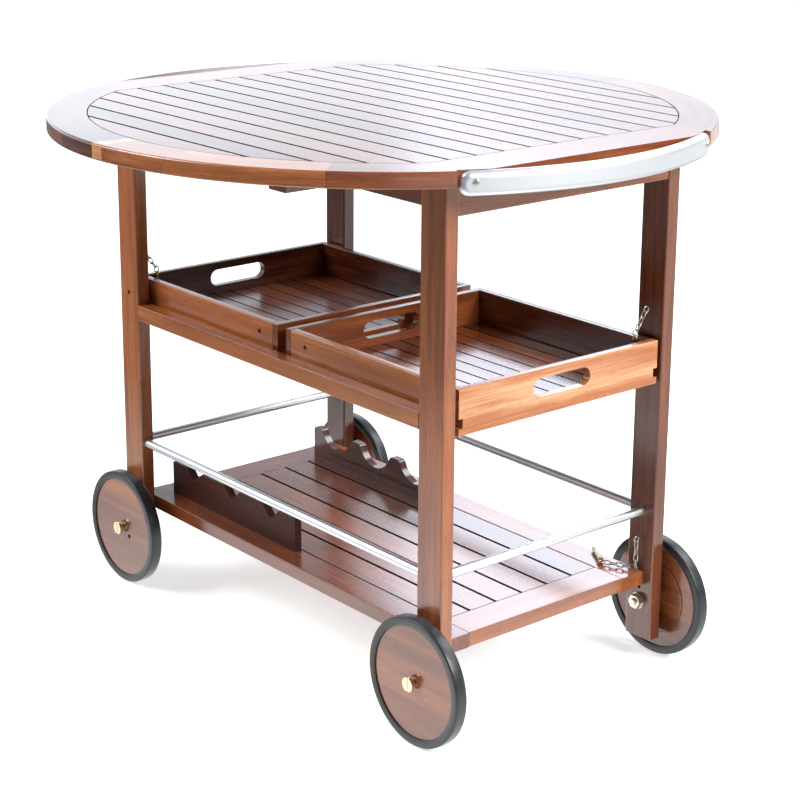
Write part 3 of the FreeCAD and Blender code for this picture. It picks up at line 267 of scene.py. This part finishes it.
# boards whose edges are rounded here: the rails of the top and the trays' sides and ends; their tones
# likewise hold painted shade (the trays' back sides, the left tray's outer end) and painted light (the right
# tray's outer end and front side)
EASED_BOARDS = {
    "top_end_rail_left": ("y", 0.0), "top_end_rail_right": ("y", 0.04),
    "tray_left_inner_end": ("y", -0.08), "tray_right_inner_end": ("y", 0.0),
    "tray_left_outer_end": ("y", -0.32), "tray_right_outer_end": ("y", 0.29),
    "tray_left_front_side": ("x", 0.08), "tray_right_front_side": ("x", 0.28),
    "tray_left_back_side": ("x", -0.30), "tray_right_back_side": ("x", -0.30),
}
# slatted fields: slats in each, their tone
SLATS = {
    "top_slats": (18, -0.12), "shelf_slats": (6, -0.05), "tray_left_floor": (11, -0.10),
    "tray_right_floor": (11, -0.06),
}
# staves of the curved border: where each starts, in degrees from +X, and its tone from dark 0 to light 1
BORDER_STAVES = (
    (-180.0, 0.45), (-152.0, 0.36), (-104.0, 0.24), (-92.4, 0.90), (-89.6, 0.60), (-75.3, 0.72),
    (-48.5, 0.42), (0.0, 0.45), (61.0, 0.60), (84.0, 0.35), (112.0, 0.70), (133.0, 0.42),
)

# axes along the grain, across it and through the board
AXES = {"x": ("X", "Y", "Z"), "y": ("Y", "X", "Z"), "z": ("Z", "X", "Y")}
# start and width in metres of one stave that takes in the whole cart
ONE_STAVE = (-10.0, 20.0)
# steps from one board or stave to the next through the noise that tells them apart
BOARD_STEP = 7.31
STAVE_STEP = 91.7
# first numbers of the slats' and the discs' boards
SLAT_SEED = 50
DISC_SEED = 100
# gap between slats, which the pitch of a slatted field takes in
SLAT_GAP = 3 * MM
DISC_STAVES = 3
# how far the oil darkens cut ends, and how far painted shade darkens the slats' sides down in the gaps
# between them
END_SHADE = 0.20
PAINTED_GAP_SHADE = 0.90


def oiled_hardwood(name, grain, tone_and_painted_light, staves=None, seed=0, dull=False):
    """Acacia, planed and oiled: long streaks and short pores along the grain under a soft, even gloss.

    grain is the axis that the fibres follow, or "ring" for the border's staves.
    staves holds the axis that a row of glued boards runs along, its start and each board's width in metres.
    A dull board has soaked up its oil, and has no gloss left.
    """
    # the tone lightens or darkens the whole board: partly its own tone, partly painted light or painted shade
    wood = bpy.context.scene.cart_wood
    material, output = new_material(name)
    tree = material.node_tree
    place = add_node(tree, "TexCoord")
    parts = add_node(tree, "SeparateXYZ", {0: place.outputs["Object"]})

    # every stave is cut from another place in the tree, and is a little lighter or darker
    if grain == "ring":
        angle = add_node(tree, "Math", {0: parts.outputs["Y"], 1: parts.outputs["X"]}, operation="ARCTAN2")
        along = add_node(tree, "Math", {0: angle.outputs[0], 1: CAD_BOX[1].y},
                         operation="MULTIPLY").outputs[0]
        flat = add_node(tree, "VectorMath", {0: place.outputs["Object"], 1: (1, 1, 0)}, operation="MULTIPLY")
        across = add_node(tree, "VectorMath", {0: flat.outputs[0]}, operation="LENGTH").outputs["Value"]
        deep = parts.outputs["Z"]
        turn = add_node(tree, "MapRange", {
            "Value": angle.outputs[0], "From Min": -math.pi, "From Max": math.pi})
        stave = add_node(tree, "ValToRGB", {0: turn.outputs[0]}, hard=True, stops=[
            (start / 360 + 0.5, (shade, shade, shade, 1)) for start, shade in BORDER_STAVES])
        cut = add_node(tree, "Math", {0: stave.outputs["Color"], 1: STAVE_STEP}, operation="MULTIPLY")
        own_tone, spread, figured, streaked = stave.outputs["Color"], 1.0, 0.85, 0.45
    else:
        along, across, deep = (parts.outputs[axis] for axis in AXES[grain])
        axis, start, width = staves or (AXES[grain][1], *ONE_STAVE)
        cut = add_node(tree, "Math", {0: parts.outputs[axis], 1: start}, operation="SUBTRACT")
        cut = add_node(tree, "Math", {0: cut.outputs[0], 1: width}, operation="DIVIDE")
        cut = add_node(tree, "Math", {0: cut.outputs[0]}, operation="FLOOR")
        cut = add_node(tree, "Math", {0: cut.outputs[0], 1: seed * BOARD_STEP}, operation="ADD")
        own_tone, spread, figured, streaked = None, 0.24, 0.55, 0.28
    luck = add_node(tree, "TexWhiteNoise", {"W": cut.outputs[0]}, noise_dimensions="1D")
    spot = add_node(tree, "CombineXYZ", {0: along, 1: across, 2: deep})
    spot = add_node(tree, "VectorMath", {0: spot.outputs[0], 1: luck.outputs["Color"]}, operation="ADD")

    figure_scale = (1 / wood.figure_long, 1 / wood.figure_wide, 1 / wood.figure_wide)
    layers = {}
    for layer, scale, detail, distortion in (
            ("figure", figure_scale, 3, 0.8),
            ("streak", (per_mm(90), per_mm(2.8), per_mm(2.8)), 2, 0.0),
            ("pore", (per_mm(12), per_mm(0.9), per_mm(0.9)), 1, 0.0)):
        grown = add_node(tree, "VectorMath", {0: spot.outputs[0], 1: scale}, operation="MULTIPLY")
        noise = add_node(tree, "TexNoise", {
            "Vector": grown.outputs[0], "Scale": 1.0, "Detail": detail, "Distortion": distortion})
        layers[layer] = noise.outputs["Fac"]

    # noise and luck average 0.5, so the shares below keep a board's mean at 0.5 plus its tone, which for some
    # boards is painted light or painted shade
    mix = tone_and_painted_light + 0.5 - 0.5 * (figured + streaked + spread)
    for value, share in ((layers["figure"], figured), (layers["streak"], streaked),
                         (own_tone or luck.outputs["Value"], spread)):
        mix = add_node(tree, "Math", {0: value, 1: share, 2: mix}, operation="MULTIPLY_ADD").outputs[0]
    shade = add_node(tree, "ValToRGB", {0: mix}, stops=[
        (0.12, wood.dark), (0.50, wood.body), (0.78, wood.light), (1.0, wood.pale)])
    pores = add_node(tree, "MapRange", {"Value": layers["pore"], "From Min": 0.60, "From Max": 0.74,
                                        "To Min": 1.0, "To Max": 0.66})
    shade = add_node(tree, "Mix", {"Factor": 1.0, "A": shade.outputs["Color"], "B": pores.outputs[0]},
                     data_type="RGBA", blend_type="MULTIPLY")
    colour = shade.outputs["Result"]

    # cut ends drink more oil and turn a little darker, and the slats' sides, down in the narrow gaps between
    # them, get painted shade
    facing = add_node(tree, "SeparateXYZ", {0: place.outputs["Normal"]})
    oiled_ends_and_painted_gaps = []
    if grain != "ring":
        oiled_ends_and_painted_gaps.append((AXES[grain][0], END_SHADE, wood.dark))
    if staves and staves[0] == "Y":
        oiled_ends_and_painted_gaps.append(("Y", PAINTED_GAP_SHADE, wood.gap))
    for axis, share, tint in oiled_ends_and_painted_gaps:
        turned_to = add_node(tree, "Math", {0: facing.outputs[axis]}, operation="ABSOLUTE")
        amount = add_node(tree, "MapRange", {"Value": turned_to.outputs[0], "From Min": 0.7, "From Max": 0.95,
                                             "To Max": share})
        colour = add_node(tree, "Mix", {"Factor": amount.outputs[0], "A": colour, "B": tint},
                          data_type="RGBA", blend_type="MIX").outputs["Result"]

    smoothest, roughest, index, coat = (0.50, 0.62, 1.38, 0.0) if dull else (0.17, 0.23, 1.5, wood.gloss)
    rough = add_node(tree, "MapRange", {"Value": layers["streak"], "To Min": smoothest, "To Max": roughest})
    height = add_node(tree, "Math", {0: pores.outputs[0], 1: 0.5, 2: layers["streak"]},
                      operation="MULTIPLY_ADD")
    relief = add_node(tree, "Bump", {"Strength": 0.06, "Distance": 0.4 * MM, "Height": height.outputs[0]})
    shader = add_node(tree, "BsdfPrincipled", {
        "Base Color": colour, "Roughness": rough.outputs[0], "Normal": relief.outputs[0],
        "IOR": index, "Coat Weight": coat, "Coat Roughness": 0.18})
    tree.links.new(shader.outputs[0], output.inputs[0])
    return material


# how much a metal's roughness varies either way
UNEVEN = 0.08


def satin_metal(name, colour, roughness, grit):
    """Metal with a fine matt grit: bead-blasted and anodised aluminium, turned brass or plated metal.

    grit is the width of its grains in millimetres.
    """
    material, output = new_material(name)
    tree = material.node_tree
    place = add_node(tree, "TexCoord")
    noise = add_node(tree, "TexNoise", {
        "Vector": place.outputs["Object"], "Scale": per_mm(grit), "Detail": 2})
    rough = add_node(tree, "MapRange", {
        "Value": noise.outputs["Fac"], "To Min": roughness - UNEVEN, "To Max": roughness + UNEVEN})
    relief = add_node(tree, "Bump", {"Strength": 0.05, "Distance": 0.1 * MM, "Height": noise.outputs["Fac"]})
    shader = add_node(tree, "BsdfPrincipled", {
        "Base Color": colour, "Metallic": 1.0, "Roughness": rough.outputs[0], "Normal": relief.outputs[0]})
    tree.links.new(shader.outputs[0], output.inputs[0])
    return material


def moulded_rubber(name, colour):
    """Black moulded rubber: a dull skin, a little dusty and uneven, with a soft sheen on its rounds."""
    material, output = new_material(name)
    tree = material.node_tree
    place = add_node(tree, "TexCoord")
    dust = add_node(tree, "TexNoise", {"Vector": place.outputs["Object"], "Scale": per_mm(14), "Detail": 4})
    skin = add_node(tree, "TexNoise", {"Vector": place.outputs["Object"], "Scale": per_mm(0.8), "Detail": 2})
    dusty = linear("#282A2D")
    shade = add_node(tree, "ValToRGB", {0: dust.outputs["Fac"]}, stops=[(0.35, colour), (0.80, dusty)])
    rough = add_node(tree, "MapRange", {"Value": dust.outputs["Fac"], "To Min": 0.28, "To Max": 0.40})
    relief = add_node(tree, "Bump", {"Strength": 0.12, "Distance": 0.2 * MM, "Height": skin.outputs["Fac"]})
    shader = add_node(tree, "BsdfPrincipled", {
        "Base Color": shade.outputs["Color"], "Roughness": rough.outputs[0], "Normal": relief.outputs[0],
        "Specular IOR Level": 0.42})
    tree.links.new(shader.outputs[0], output.inputs[0])
    return material


def merged_copy(name):
    """A node's mesh with its loose triangles joined."""
    shape = bmesh.new()
    shape.from_mesh(nodes[name].data)
    bmesh.ops.remove_doubles(shape, verts=shape.verts, dist=CLOSE)
    return shape


def eased_copy(name, width, slot):
    """A copy of a node with its sharp edges rounded, which stands for the node."""
    shape = merged_copy(name)
    bmesh.ops.dissolve_limit(shape, angle_limit=FLAT, verts=shape.verts, edges=shape.edges)
    piece = new_piece(f"eased_{name}", shape, nodes[name]["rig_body"], slot, name)
    ease = piece.modifiers.new("eased edges", "BEVEL")
    ease.width = width
    ease.segments = 2
    ease.limit_method = "ANGLE"
    ease.angle_limit = CRISP
    ease.harden_normals = True
    return piece


class BARCART_OT_boards(bpy.types.Operator):
    """Oil the straight boards"""

    bl_idname = "barcart.boards"
    bl_label = "Oil the boards"

    def execute(self, context):
        for seed, (name, (grain, tone_and_painted_light)) in enumerate(BOARDS.items()):
            dull = name == "rack_neck_board"
            material = oiled_hardwood(f"oiled acacia {name}", grain, tone_and_painted_light, seed=seed, dull=dull)
            finish_with(nodes[name], material)
        for seed, (name, (grain, tone_and_painted_light)) in enumerate(EASED_BOARDS.items(), start=len(BOARDS)):
            piece = eased_copy(name, context.scene.cart_wood.edge, "wood")
            finish_with(piece, oiled_hardwood(f"oiled acacia {name}", grain, tone_and_painted_light, seed=seed))
        return {"FINISHED"}


class BARCART_OT_slats(bpy.types.Operator):
    """Round and oil the slats of the top, the shelf and the trays"""

    bl_idname = "barcart.slats"
    bl_label = "Finish the slats"

    def execute(self, context):
        for seed, (name, (count, tone_and_painted_light)) in enumerate(SLATS.items(), start=SLAT_SEED):
            low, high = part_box(name)
            staves = ("Y", low.y - SLAT_GAP / 2, (high.y - low.y + SLAT_GAP) / count)
            piece = eased_copy(name, context.scene.cart_wood.slat_edge, "wood")
            finish_with(piece, oiled_hardwood(f"oiled acacia {name}", "x", tone_and_painted_light, staves, seed))
        return {"FINISHED"}


class BARCART_OT_border(bpy.types.Operator):
    """Oil the curved border, which is glued up from short staves"""

    bl_idname = "barcart.border"
    bl_label = "Oil the border"

    def execute(self, context):
        material = oiled_hardwood("oiled acacia border", "ring", 0.0)
        for piece in named("top_border"):
            finish_with(piece, material)
        return {"FINISHED"}


# half of a tyre's section in millimetres: distance from the axle, and from the wheel's middle plane
TYRE_SECTION = ((79.0, 0.0), (79.0, 7.0), (77.6, 7.0), (77.6, 8.6), (78.2, 9.0), (89.5, 9.0), (89.85, 4.5),
                (90.0, 0.0))
TYRE_SIDES = 96


def crowned_tyre(name, shoulder):
    """A tyre turned from its section: a lip beside the disc, round shoulders and a slightly crowned tread."""
    low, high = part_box(name)
    hub = (low + high) / 2
    tread = (high.z - low.z) / 2
    half = [(radius * MM, side * MM) for radius, side in TYRE_SECTION]
    section = half + [(radius, -side) for radius, side in reversed(half[1:-1])]
    shape = bmesh.new()
    corners = [shape.verts.new((hub.x, hub.y + side, hub.z + radius)) for radius, side in section]
    rim = [shape.edges.new((first, second)) for first, second in zip(corners, corners[1:] + corners[:1])]
    bmesh.ops.spin(shape, geom=corners + rim, cent=hub, axis=(0, 1, 0), angle=math.tau, steps=TYRE_SIDES,
                   use_merge=True)
    bmesh.ops.recalc_face_normals(shape, faces=shape.faces)
    edge_out = (high.y - low.y) / 2
    shoulders = [edge for edge in shape.edges
                 if all(abs(abs(vert.co.y - hub.y) - edge_out) < CLOSE for vert in edge.verts)
                 and all((vert.co - hub).xz.length > tread - MM for vert in edge.verts)]
    bmesh.ops.bevel(shape, geom=shoulders, offset=shoulder, offset_type="OFFSET", affect="EDGES", segments=6,
                    profile=0.5, material=-1, clamp_overlap=False)
    return new_piece(f"crowned_{name}", shape, nodes[name]["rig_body"], "rubber", name)


class BARCART_OT_wheels(bpy.types.Operator):
    """Finish the wheels: glued wooden discs with rubber tyres"""

    bl_idname = "barcart.wheels"
    bl_label = "Finish the wheels"

    def execute(self, context):
        fittings = context.scene.cart_fittings
        for seed, piece in enumerate(named("wheel_disc"), start=DISC_SEED):
            low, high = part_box(piece.name)
            stave = (high.z - low.z) / DISC_STAVES
            material = oiled_hardwood(f"oiled acacia {piece.name}", "x", 0.0, ("Z", low.z, stave), seed)
            finish_with(piece, material)
        rubber = moulded_rubber("moulded rubber", fittings.rubber)
        for piece in named("tyre"):
            finish_with(crowned_tyre(piece.name, fittings.shoulder), rubber)
        return {"FINISHED"}


WIRE_SIDES = 10
TURNED_SIDES = 24
# turned sections in millimetres: distance from the axis, and along it
PIN_SECTION = ((0.0, 4.5), (3.6, 4.5), (4.5, 5.4), (4.5, 12.6), (3.9, 13.4), (3.0, 13.5), (3.0, 52.0),
               (1.9, 53.5), (0.0, 53.5))
EYE_SECTION = ((0.0, 4.6), (0.85, 4.6), (0.85, 19.5), (0.0, 21.0))
SCREW_SECTION = ((0.0, -38.0), (2.5, -38.0), (2.5, 0.0), (4.5, 0.0), (4.4, 0.7), (3.7, 1.9), (2.7, 2.4))
SOCKET_DEPTH = 1.5 * MM
# how far a handle screw's head stands out from its seat in the solid model
HEAD_TALL = 2.5 * MM
# rounding of the axles' edges
BOLT_EDGE = 0.4 * MM
NUT_EDGE = 0.5 * MM


def loose_parts(name):
    """The separate solids of a node: each one's middle, corners and long, middle and short directions."""
    shape = merged_copy(name)
    seen = set()
    parts = []
    for start in shape.verts:
        if start in seen:
            continue
        seen.add(start)
        part = [start]
        for vert in part:
            fresh = [edge.other_vert(vert) for edge in vert.link_edges]
            fresh = [other for other in fresh if other not in seen]
            seen.update(fresh)
            part.extend(fresh)
        corners = np.array([vert.co for vert in part])
        ways = np.linalg.svd(corners - corners.mean(0), full_matrices=False)[2]
        spans = corners @ ways.T
        middle = (spans.min(0) + spans.max(0)) / 2 @ ways
        parts.append((Vector(middle), corners, [Vector(way) for way in ways]))
    shape.free()
    return parts


def placed(middle, x_way, z_way):
    """The matrix that puts local X and Z along two square directions at a place."""
    return Matrix.Translation(middle) @ Matrix((x_way, z_way.cross(x_way), z_way)).transposed().to_4x4()


def wire_loop(shape, place, radius, wire, stretch=0.0):
    """Adds a ring of round wire in the local XY plane, its halves drawn apart along X to make a link."""
    before = set(shape.verts)
    turn = Matrix.Rotation(math.pi / TURNED_SIDES, 4, "Z")
    upright = Matrix.Translation((radius, 0, 0)) @ Matrix.Rotation(math.pi / 2, 4, "X")
    section = bmesh.ops.create_circle(shape, segments=WIRE_SIDES, radius=wire / 2,
                                      matrix=turn @ upright)["verts"]
    outline = list(dict.fromkeys(edge for vert in section for edge in vert.link_edges))
    bmesh.ops.spin(shape, geom=section + outline, cent=(0, 0, 0), axis=(0, 0, 1), angle=math.tau,
                   steps=TURNED_SIDES, use_merge=True)
    loop = [vert for vert in shape.verts if vert not in before]
    for vert in loop:
        vert.co.x += math.copysign(stretch, vert.co.x)
    bmesh.ops.transform(shape, matrix=place, verts=loop)


def turned(shape, place, section):
    """Adds a section turned about the local X axis."""
    before = set(shape.verts)
    corners = [shape.verts.new((along * MM, 0, radius * MM)) for radius, along in section]
    outline = [shape.edges.new(pair) for pair in zip(corners, corners[1:])]
    bmesh.ops.spin(shape, geom=corners + outline, cent=(0, 0, 0), axis=(1, 0, 0), angle=math.tau,
                   steps=TURNED_SIDES, use_merge=True)
    body = [vert for vert in shape.verts if vert not in before]
    bmesh.ops.transform(shape, matrix=place, verts=body)
    bmesh.ops.remove_doubles(shape, verts=body, dist=MM / 1000)


def joined(shape, first, second):
    """Bridges two open loops of corners."""
    edges = [edge for edge in shape.edges
             if all(vert in first for vert in edge.verts) or all(vert in second for vert in edge.verts)]
    bmesh.ops.bridge_loops(shape, edges=edges)


def socket_screw(shape, place, socket):
    """Adds a button-headed screw with a hexagon socket, its head's seat at the local origin."""
    before = set(shape.verts)
    turned(shape, place, SCREW_SECTION)
    rim = {vert for vert in shape.verts if vert not in before and vert.is_boundary}
    facing = Matrix.Rotation(math.pi / 2, 4, "Y")
    loops = [rim]
    top = SCREW_SECTION[-1][1] * MM
    for depth, capped in ((top, False), (top - SOCKET_DEPTH, True)):
        hexagon = place @ Matrix.Translation((depth, 0, 0)) @ facing
        loops.append(set(bmesh.ops.create_circle(shape, cap_ends=capped, segments=6, radius=socket,
                                                 matrix=hexagon)["verts"]))
    joined(shape, loops[0], loops[1])
    joined(shape, loops[1], loops[2])


class BARCART_OT_locks(bpy.types.Operator):
    """Make the lock pins, their rings, the screw eyes and the chains"""

    bl_idname = "barcart.locks"
    bl_label = "Make the locks"

    def execute(self, context):
        fittings = context.scene.cart_fittings
        plate = satin_metal("nickel-plated brass", fittings.pin, roughness=0.24, grit=0.6)
        steel = satin_metal("zinc-plated steel", fittings.steel, roughness=0.28, grit=0.5)
        for joint in frame["joints"]:
            if "_pin_" not in joint["name"]:
                continue
            name = joint["child"].replace("_pin_", "_lock_pin_")
            ring = Vector(joint["pos_m"])
            middle, _, ways = loose_parts(name)[0]
            along = ways[0] if ways[0].dot(middle - ring) > 0 else -ways[0]
            axis = Vector(joint["axis"])
            along = (along - axis * along.dot(axis)).normalized()
            place = placed(ring, along, axis)
            pin = bmesh.new()
            turned(pin, place, PIN_SECTION)
            wire_loop(pin, place, fittings.ring_radius, fittings.ring_wire)
            bmesh.ops.recalc_face_normals(pin, faces=pin.faces)
            finish_with(new_piece(f"turned_{name}", pin, joint["child"], "brass", name), plate)

        links = bmesh.new()
        for middle, corners, ways in loose_parts("lock_chains"):
            long, wide = (np.ptp(corners @ np.array(way)) for way in ways[:2])
            bend = (wide - fittings.link_wire) / 2
            wire_loop(links, placed(middle, ways[0], ways[2]), bend, fittings.link_wire, (long - wide) / 2)
        bmesh.ops.recalc_face_normals(links, faces=links.faces)
        finish_with(new_piece("wire_chains", links, "frame", "steel", "lock_chains"), steel)

        eyes = bmesh.new()
        for middle, corners, _ in loose_parts("lock_screw_eyes"):
            into_leg = Vector((0, math.copysign(1, middle.y), 0))
            inner = min(abs(corners[:, 1])) + fittings.ring_radius + fittings.ring_wire / 2
            place = placed((middle.x, into_leg.y * inner, middle.z), into_leg, Vector((1, 0, 0)))
            turned(eyes, place, EYE_SECTION)
            wire_loop(eyes, place, fittings.ring_radius, fittings.ring_wire)
        bmesh.ops.recalc_face_normals(eyes, faces=eyes.faces)
        finish_with(new_piece("wire_screw_eyes", eyes, "frame", "steel", "lock_screw_eyes"), steel)
        return {"FINISHED"}


class BARCART_OT_metal(bpy.types.Operator):
    """Finish the handles, tubes, axles and screws"""

    bl_idname = "barcart.metal"
    bl_label = "Finish the metal"

    def execute(self, context):
        fittings = context.scene.cart_fittings
        aluminium = satin_metal("satin anodised aluminium", fittings.aluminium, roughness=0.40, grit=0.5)
        brass = satin_metal("turned brass", fittings.brass, roughness=0.26, grit=0.6)
        steel = satin_metal("bright zinc-plated steel", fittings.steel, roughness=0.24, grit=0.5)
        for piece in named("handle_left", "handle_right", "long_tube", "end_tube"):
            finish_with(piece, aluminium)
        finish_with(eased_copy("axle_bolts", BOLT_EDGE, "brass"), brass)
        finish_with(eased_copy("axle_nuts", NUT_EDGE, "steel"), steel)
        for piece in named("axle_washers", "shelf_screws"):
            finish_with(piece, steel)
        screws = bmesh.new()
        for middle, corners, _ in loose_parts("handle_screws"):
            out = Vector((middle.x, middle.y, 0)).normalized()
            under_head = max(corners @ np.array(out)) - HEAD_TALL
            seat = out * under_head + Vector((0, 0, middle.z))
            socket_screw(screws, placed(seat, out, Vector((0, 0, 1))), fittings.socket)
        bmesh.ops.recalc_face_normals(screws, faces=screws.faces)
        finish_with(new_piece("socket_handle_screws", screws, "frame", "steel", "handle_screws"), steel)
        return {"FINISHED"}


# soft boxes: where each stands, the point it is aimed at, its width and height, power in watts and colour
SOFT_BOXES = {
    "key": ((2.85, 0.75, 2.2), (0.0, 0.0, 0.45), 1.4, 1.4, 138, "#FFFFFF"),
    "fill": ((-1.7, -2.2, 2.5), (0.0, 0.0, 0.40), 2.0, 1.8, 108, "#FFFFFF"),
    "boom": ((-2.97, 5.49, 3.25), (0.0, 0.0, 0.30), 5.0, 1.5, 130, "#E4EEFF"),
    "rim": ((1.0, 2.3, 2.9), (0.0, 0.0, 0.30), 1.5, 1.5, 60, "#FFFFFF"),
}
FLOOR_HALF = 9.0
SENSOR_WIDE = 36
# the ways that the mirrored backdrop brightens: behind the cart, and low down towards its left end
BEHIND_WAY = (-0.25, 0.90, 0.35)
LOW_WAY = (-0.2, -0.2, -1.0)
# the floor's painted reflection glow: its brightest spot, and the way that it brightens again beyond the
# right end
BRIGHT_SPOT = (0.25, -0.10, 0.0)
SWEEP_WAY = (0.77, 0.64, 0.0)
WHITE = (1, 1, 1, 1)


def studio_world(room):
    """White where the camera and reflections look past the cart, and a softer white for its light."""
    world = bpy.data.worlds.new("studio")
    bpy.context.scene.world = world
    world.use_nodes = True
    tree = world.node_tree
    tree.nodes.clear()
    path = add_node(tree, "LightPath")
    # reflections see a white backdrop behind the cart and a dimmer room on the camera's side
    place = add_node(tree, "TexCoord")
    behind = add_node(tree, "VectorMath", {0: place.outputs["Generated"], 1: BEHIND_WAY},
                      operation="DOT_PRODUCT")
    mirrored = add_node(tree, "MapRange", {
        "Value": behind.outputs["Value"], "From Min": -0.6, "From Max": 0.3, "To Min": 0.35, "To Max": 1.1})
    # the backdrop is brightest low down, where the far side of the top mirrors it
    down = add_node(tree, "VectorMath", {0: place.outputs["Generated"], 1: LOW_WAY}, operation="DOT_PRODUCT")
    low = add_node(tree, "MapRange", {
        "Value": down.outputs["Value"], "From Min": -0.20, "From Max": -0.12, "To Min": 0.72, "To Max": 2.0})
    mirrored = add_node(tree, "Math", {0: mirrored.outputs[0], 1: low.outputs[0]}, operation="MULTIPLY")
    bent = add_node(tree, "Math", {0: path.outputs["Is Glossy Ray"], 1: path.outputs["Is Transmission Ray"]},
                    operation="MAXIMUM")
    strength = add_node(tree, "Mix", {"Factor": bent.outputs[0], "A": room, "B": mirrored.outputs[0]})
    strength = add_node(tree, "Mix", {
        "Factor": path.outputs["Is Camera Ray"], "A": strength.outputs[0], "B": 1.0})
    cool = add_node(tree, "Mix", {
        "Factor": path.outputs["Is Glossy Ray"], "A": WHITE, "B": linear("#EBF5FF")}, data_type="RGBA")
    light = add_node(tree, "Background", {"Color": cool.outputs["Result"], "Strength": strength.outputs[0]})
    output = add_node(tree, "OutputWorld")
    tree.links.new(light.outputs[0], output.inputs[0])


def studio_floor():
    """A white sheet of paper that keeps the cart's soft shadow, and to reflections is a painted glow,
    brightest close to the cart.
    """
    mesh = bpy.data.meshes.new("studio_floor")
    sheet = bmesh.new()
    bmesh.ops.create_grid(sheet, x_segments=1, y_segments=1, size=FLOOR_HALF)
    sheet.to_mesh(mesh)
    sheet.free()
    floor = bpy.data.objects.new("studio_floor", mesh)
    bpy.context.scene.collection.objects.link(floor)
    material, output = new_material("white paper")
    tree = material.node_tree
    path = add_node(tree, "LightPath")
    place = add_node(tree, "TexCoord")
    away = add_node(tree, "VectorMath", {0: place.outputs["Object"]}, operation="LENGTH").outputs["Value"]
    white = add_node(tree, "MapRange", {
        "Value": away, "From Min": 0.8, "From Max": 4.0, "To Min": 0.60, "To Max": 0.85})
    glow = add_node(tree, "Math", {0: path.outputs["Is Camera Ray"], 1: white.outputs[0]},
                    operation="MULTIPLY")
    paper = add_node(tree, "BsdfPrincipled", {
        "Base Color": linear("#E6F2F4"), "Roughness": 0.9, "Emission Color": WHITE,
        "Emission Strength": glow.outputs[0]})
    # reflections see no paper here but a painted glow, brightest near the cart and again beyond its right end
    spot = add_node(tree, "VectorMath", {0: place.outputs["Object"], 1: BRIGHT_SPOT}, operation="DISTANCE")
    near = add_node(tree, "MapRange", {
        "Value": spot.outputs["Value"], "From Min": 0.4, "From Max": 1.7, "To Min": 2.2, "To Max": 0.25})
    beside = add_node(tree, "VectorMath", {0: place.outputs["Object"], 1: SWEEP_WAY}, operation="DOT_PRODUCT")
    sweep = add_node(tree, "MapRange", {
        "Value": beside.outputs["Value"], "From Min": 0.6, "From Max": 1.4, "To Min": 0.0, "To Max": 1.3})
    painted_reflection_glow = add_node(tree, "Math", {0: near.outputs[0], 1: sweep.outputs[0]}, operation="MAXIMUM")
    mirrored = add_node(tree, "Emission", {"Color": WHITE, "Strength": painted_reflection_glow.outputs[0]})
    shader = add_node(tree, "MixShader", {
        0: path.outputs["Is Glossy Ray"], 1: paper.outputs[0], 2: mirrored.outputs[0]})
    tree.links.new(shader.outputs[0], output.inputs[0])
    finish_with(floor, material)


def soft_box(name, place, aim, wide, tall, power, code):
    """A rectangular lamp that the camera doesn't see."""
    lamp = bpy.data.lights.new(f"soft_box_{name}", "AREA")
    lamp.shape = "RECTANGLE"
    lamp.size = wide
    lamp.size_y = tall
    lamp.energy = power
    lamp.color = linear(code)[:3]
    box = bpy.data.objects.new(lamp.name, lamp)
    box.location = place
    box.rotation_euler = (Vector(aim) - Vector(place)).to_track_quat("-Z", "Y").to_euler()
    box.visible_camera = False
    bpy.context.scene.collection.objects.link(box)


class BARCART_OT_studio(bpy.types.Operator):
    """Set up the white studio, its lamps and the camera"""

    bl_idname = "barcart.studio"
    bl_label = "Set up the studio"

    def execute(self, context):
        settings = context.scene.cart_studio
        context.scene.view_settings.view_transform = "Standard"
        studio_world(settings.room)
        studio_floor()
        for name, values in SOFT_BOXES.items():
            soft_box(name, *values)
        data = bpy.data.cameras.new("camera")
        data.lens = settings.camera_lens
        data.sensor_width = SENSOR_WIDE
        data.shift_y = settings.camera_shift
        camera = bpy.data.objects.new("camera", data)
        turn = Matrix.Rotation(settings.camera_azimuth, 4, "Z")
        tilt = Matrix.Rotation(math.pi / 2 - settings.camera_elevation, 4, "X")
        roll = Matrix.Rotation(settings.camera_roll, 4, "Z")
        camera.matrix_world = Matrix.Translation(settings.camera_place) @ turn @ tilt @ roll
        context.scene.collection.objects.link(camera)
        context.scene.camera = camera
        return {"FINISHED"}


class BARCART_PT_panel(bpy.types.Panel):
    """The cart's steps"""

    bl_idname = "BARCART_PT_panel"
    bl_label = "Bar cart"
    bl_space_type = "VIEW_3D"
    bl_region_type = "UI"
    bl_category = "Bar cart"

    def draw(self, context):
        for step in STEPS:
            self.layout.operator(step.bl_idname)


STEPS = (BARCART_OT_boards, BARCART_OT_slats, BARCART_OT_border, BARCART_OT_wheels, BARCART_OT_metal,
         BARCART_OT_locks, BARCART_OT_studio)
CLASSES = (CartWood, CartFittings, CartStudio, *STEPS, BARCART_PT_panel)


def register():
    for item in CLASSES:
        bpy.utils.register_class(item)
    bpy.types.Scene.cart_wood = bpy.props.PointerProperty(type=CartWood)
    bpy.types.Scene.cart_fittings = bpy.props.PointerProperty(type=CartFittings)
    bpy.types.Scene.cart_studio = bpy.props.PointerProperty(type=CartStudio)


def unregister():
    del bpy.types.Scene.cart_wood
    del bpy.types.Scene.cart_fittings
    del bpy.types.Scene.cart_studio
    for item in reversed(CLASSES):
        bpy.utils.unregister_class(item)


def main():
    register()
    bpy.ops.barcart.boards()
    bpy.ops.barcart.slats()
    bpy.ops.barcart.border()
    bpy.ops.barcart.wheels()
    bpy.ops.barcart.metal()
    bpy.ops.barcart.locks()
    bpy.ops.barcart.studio()


if __name__ == "__main__":
    main()
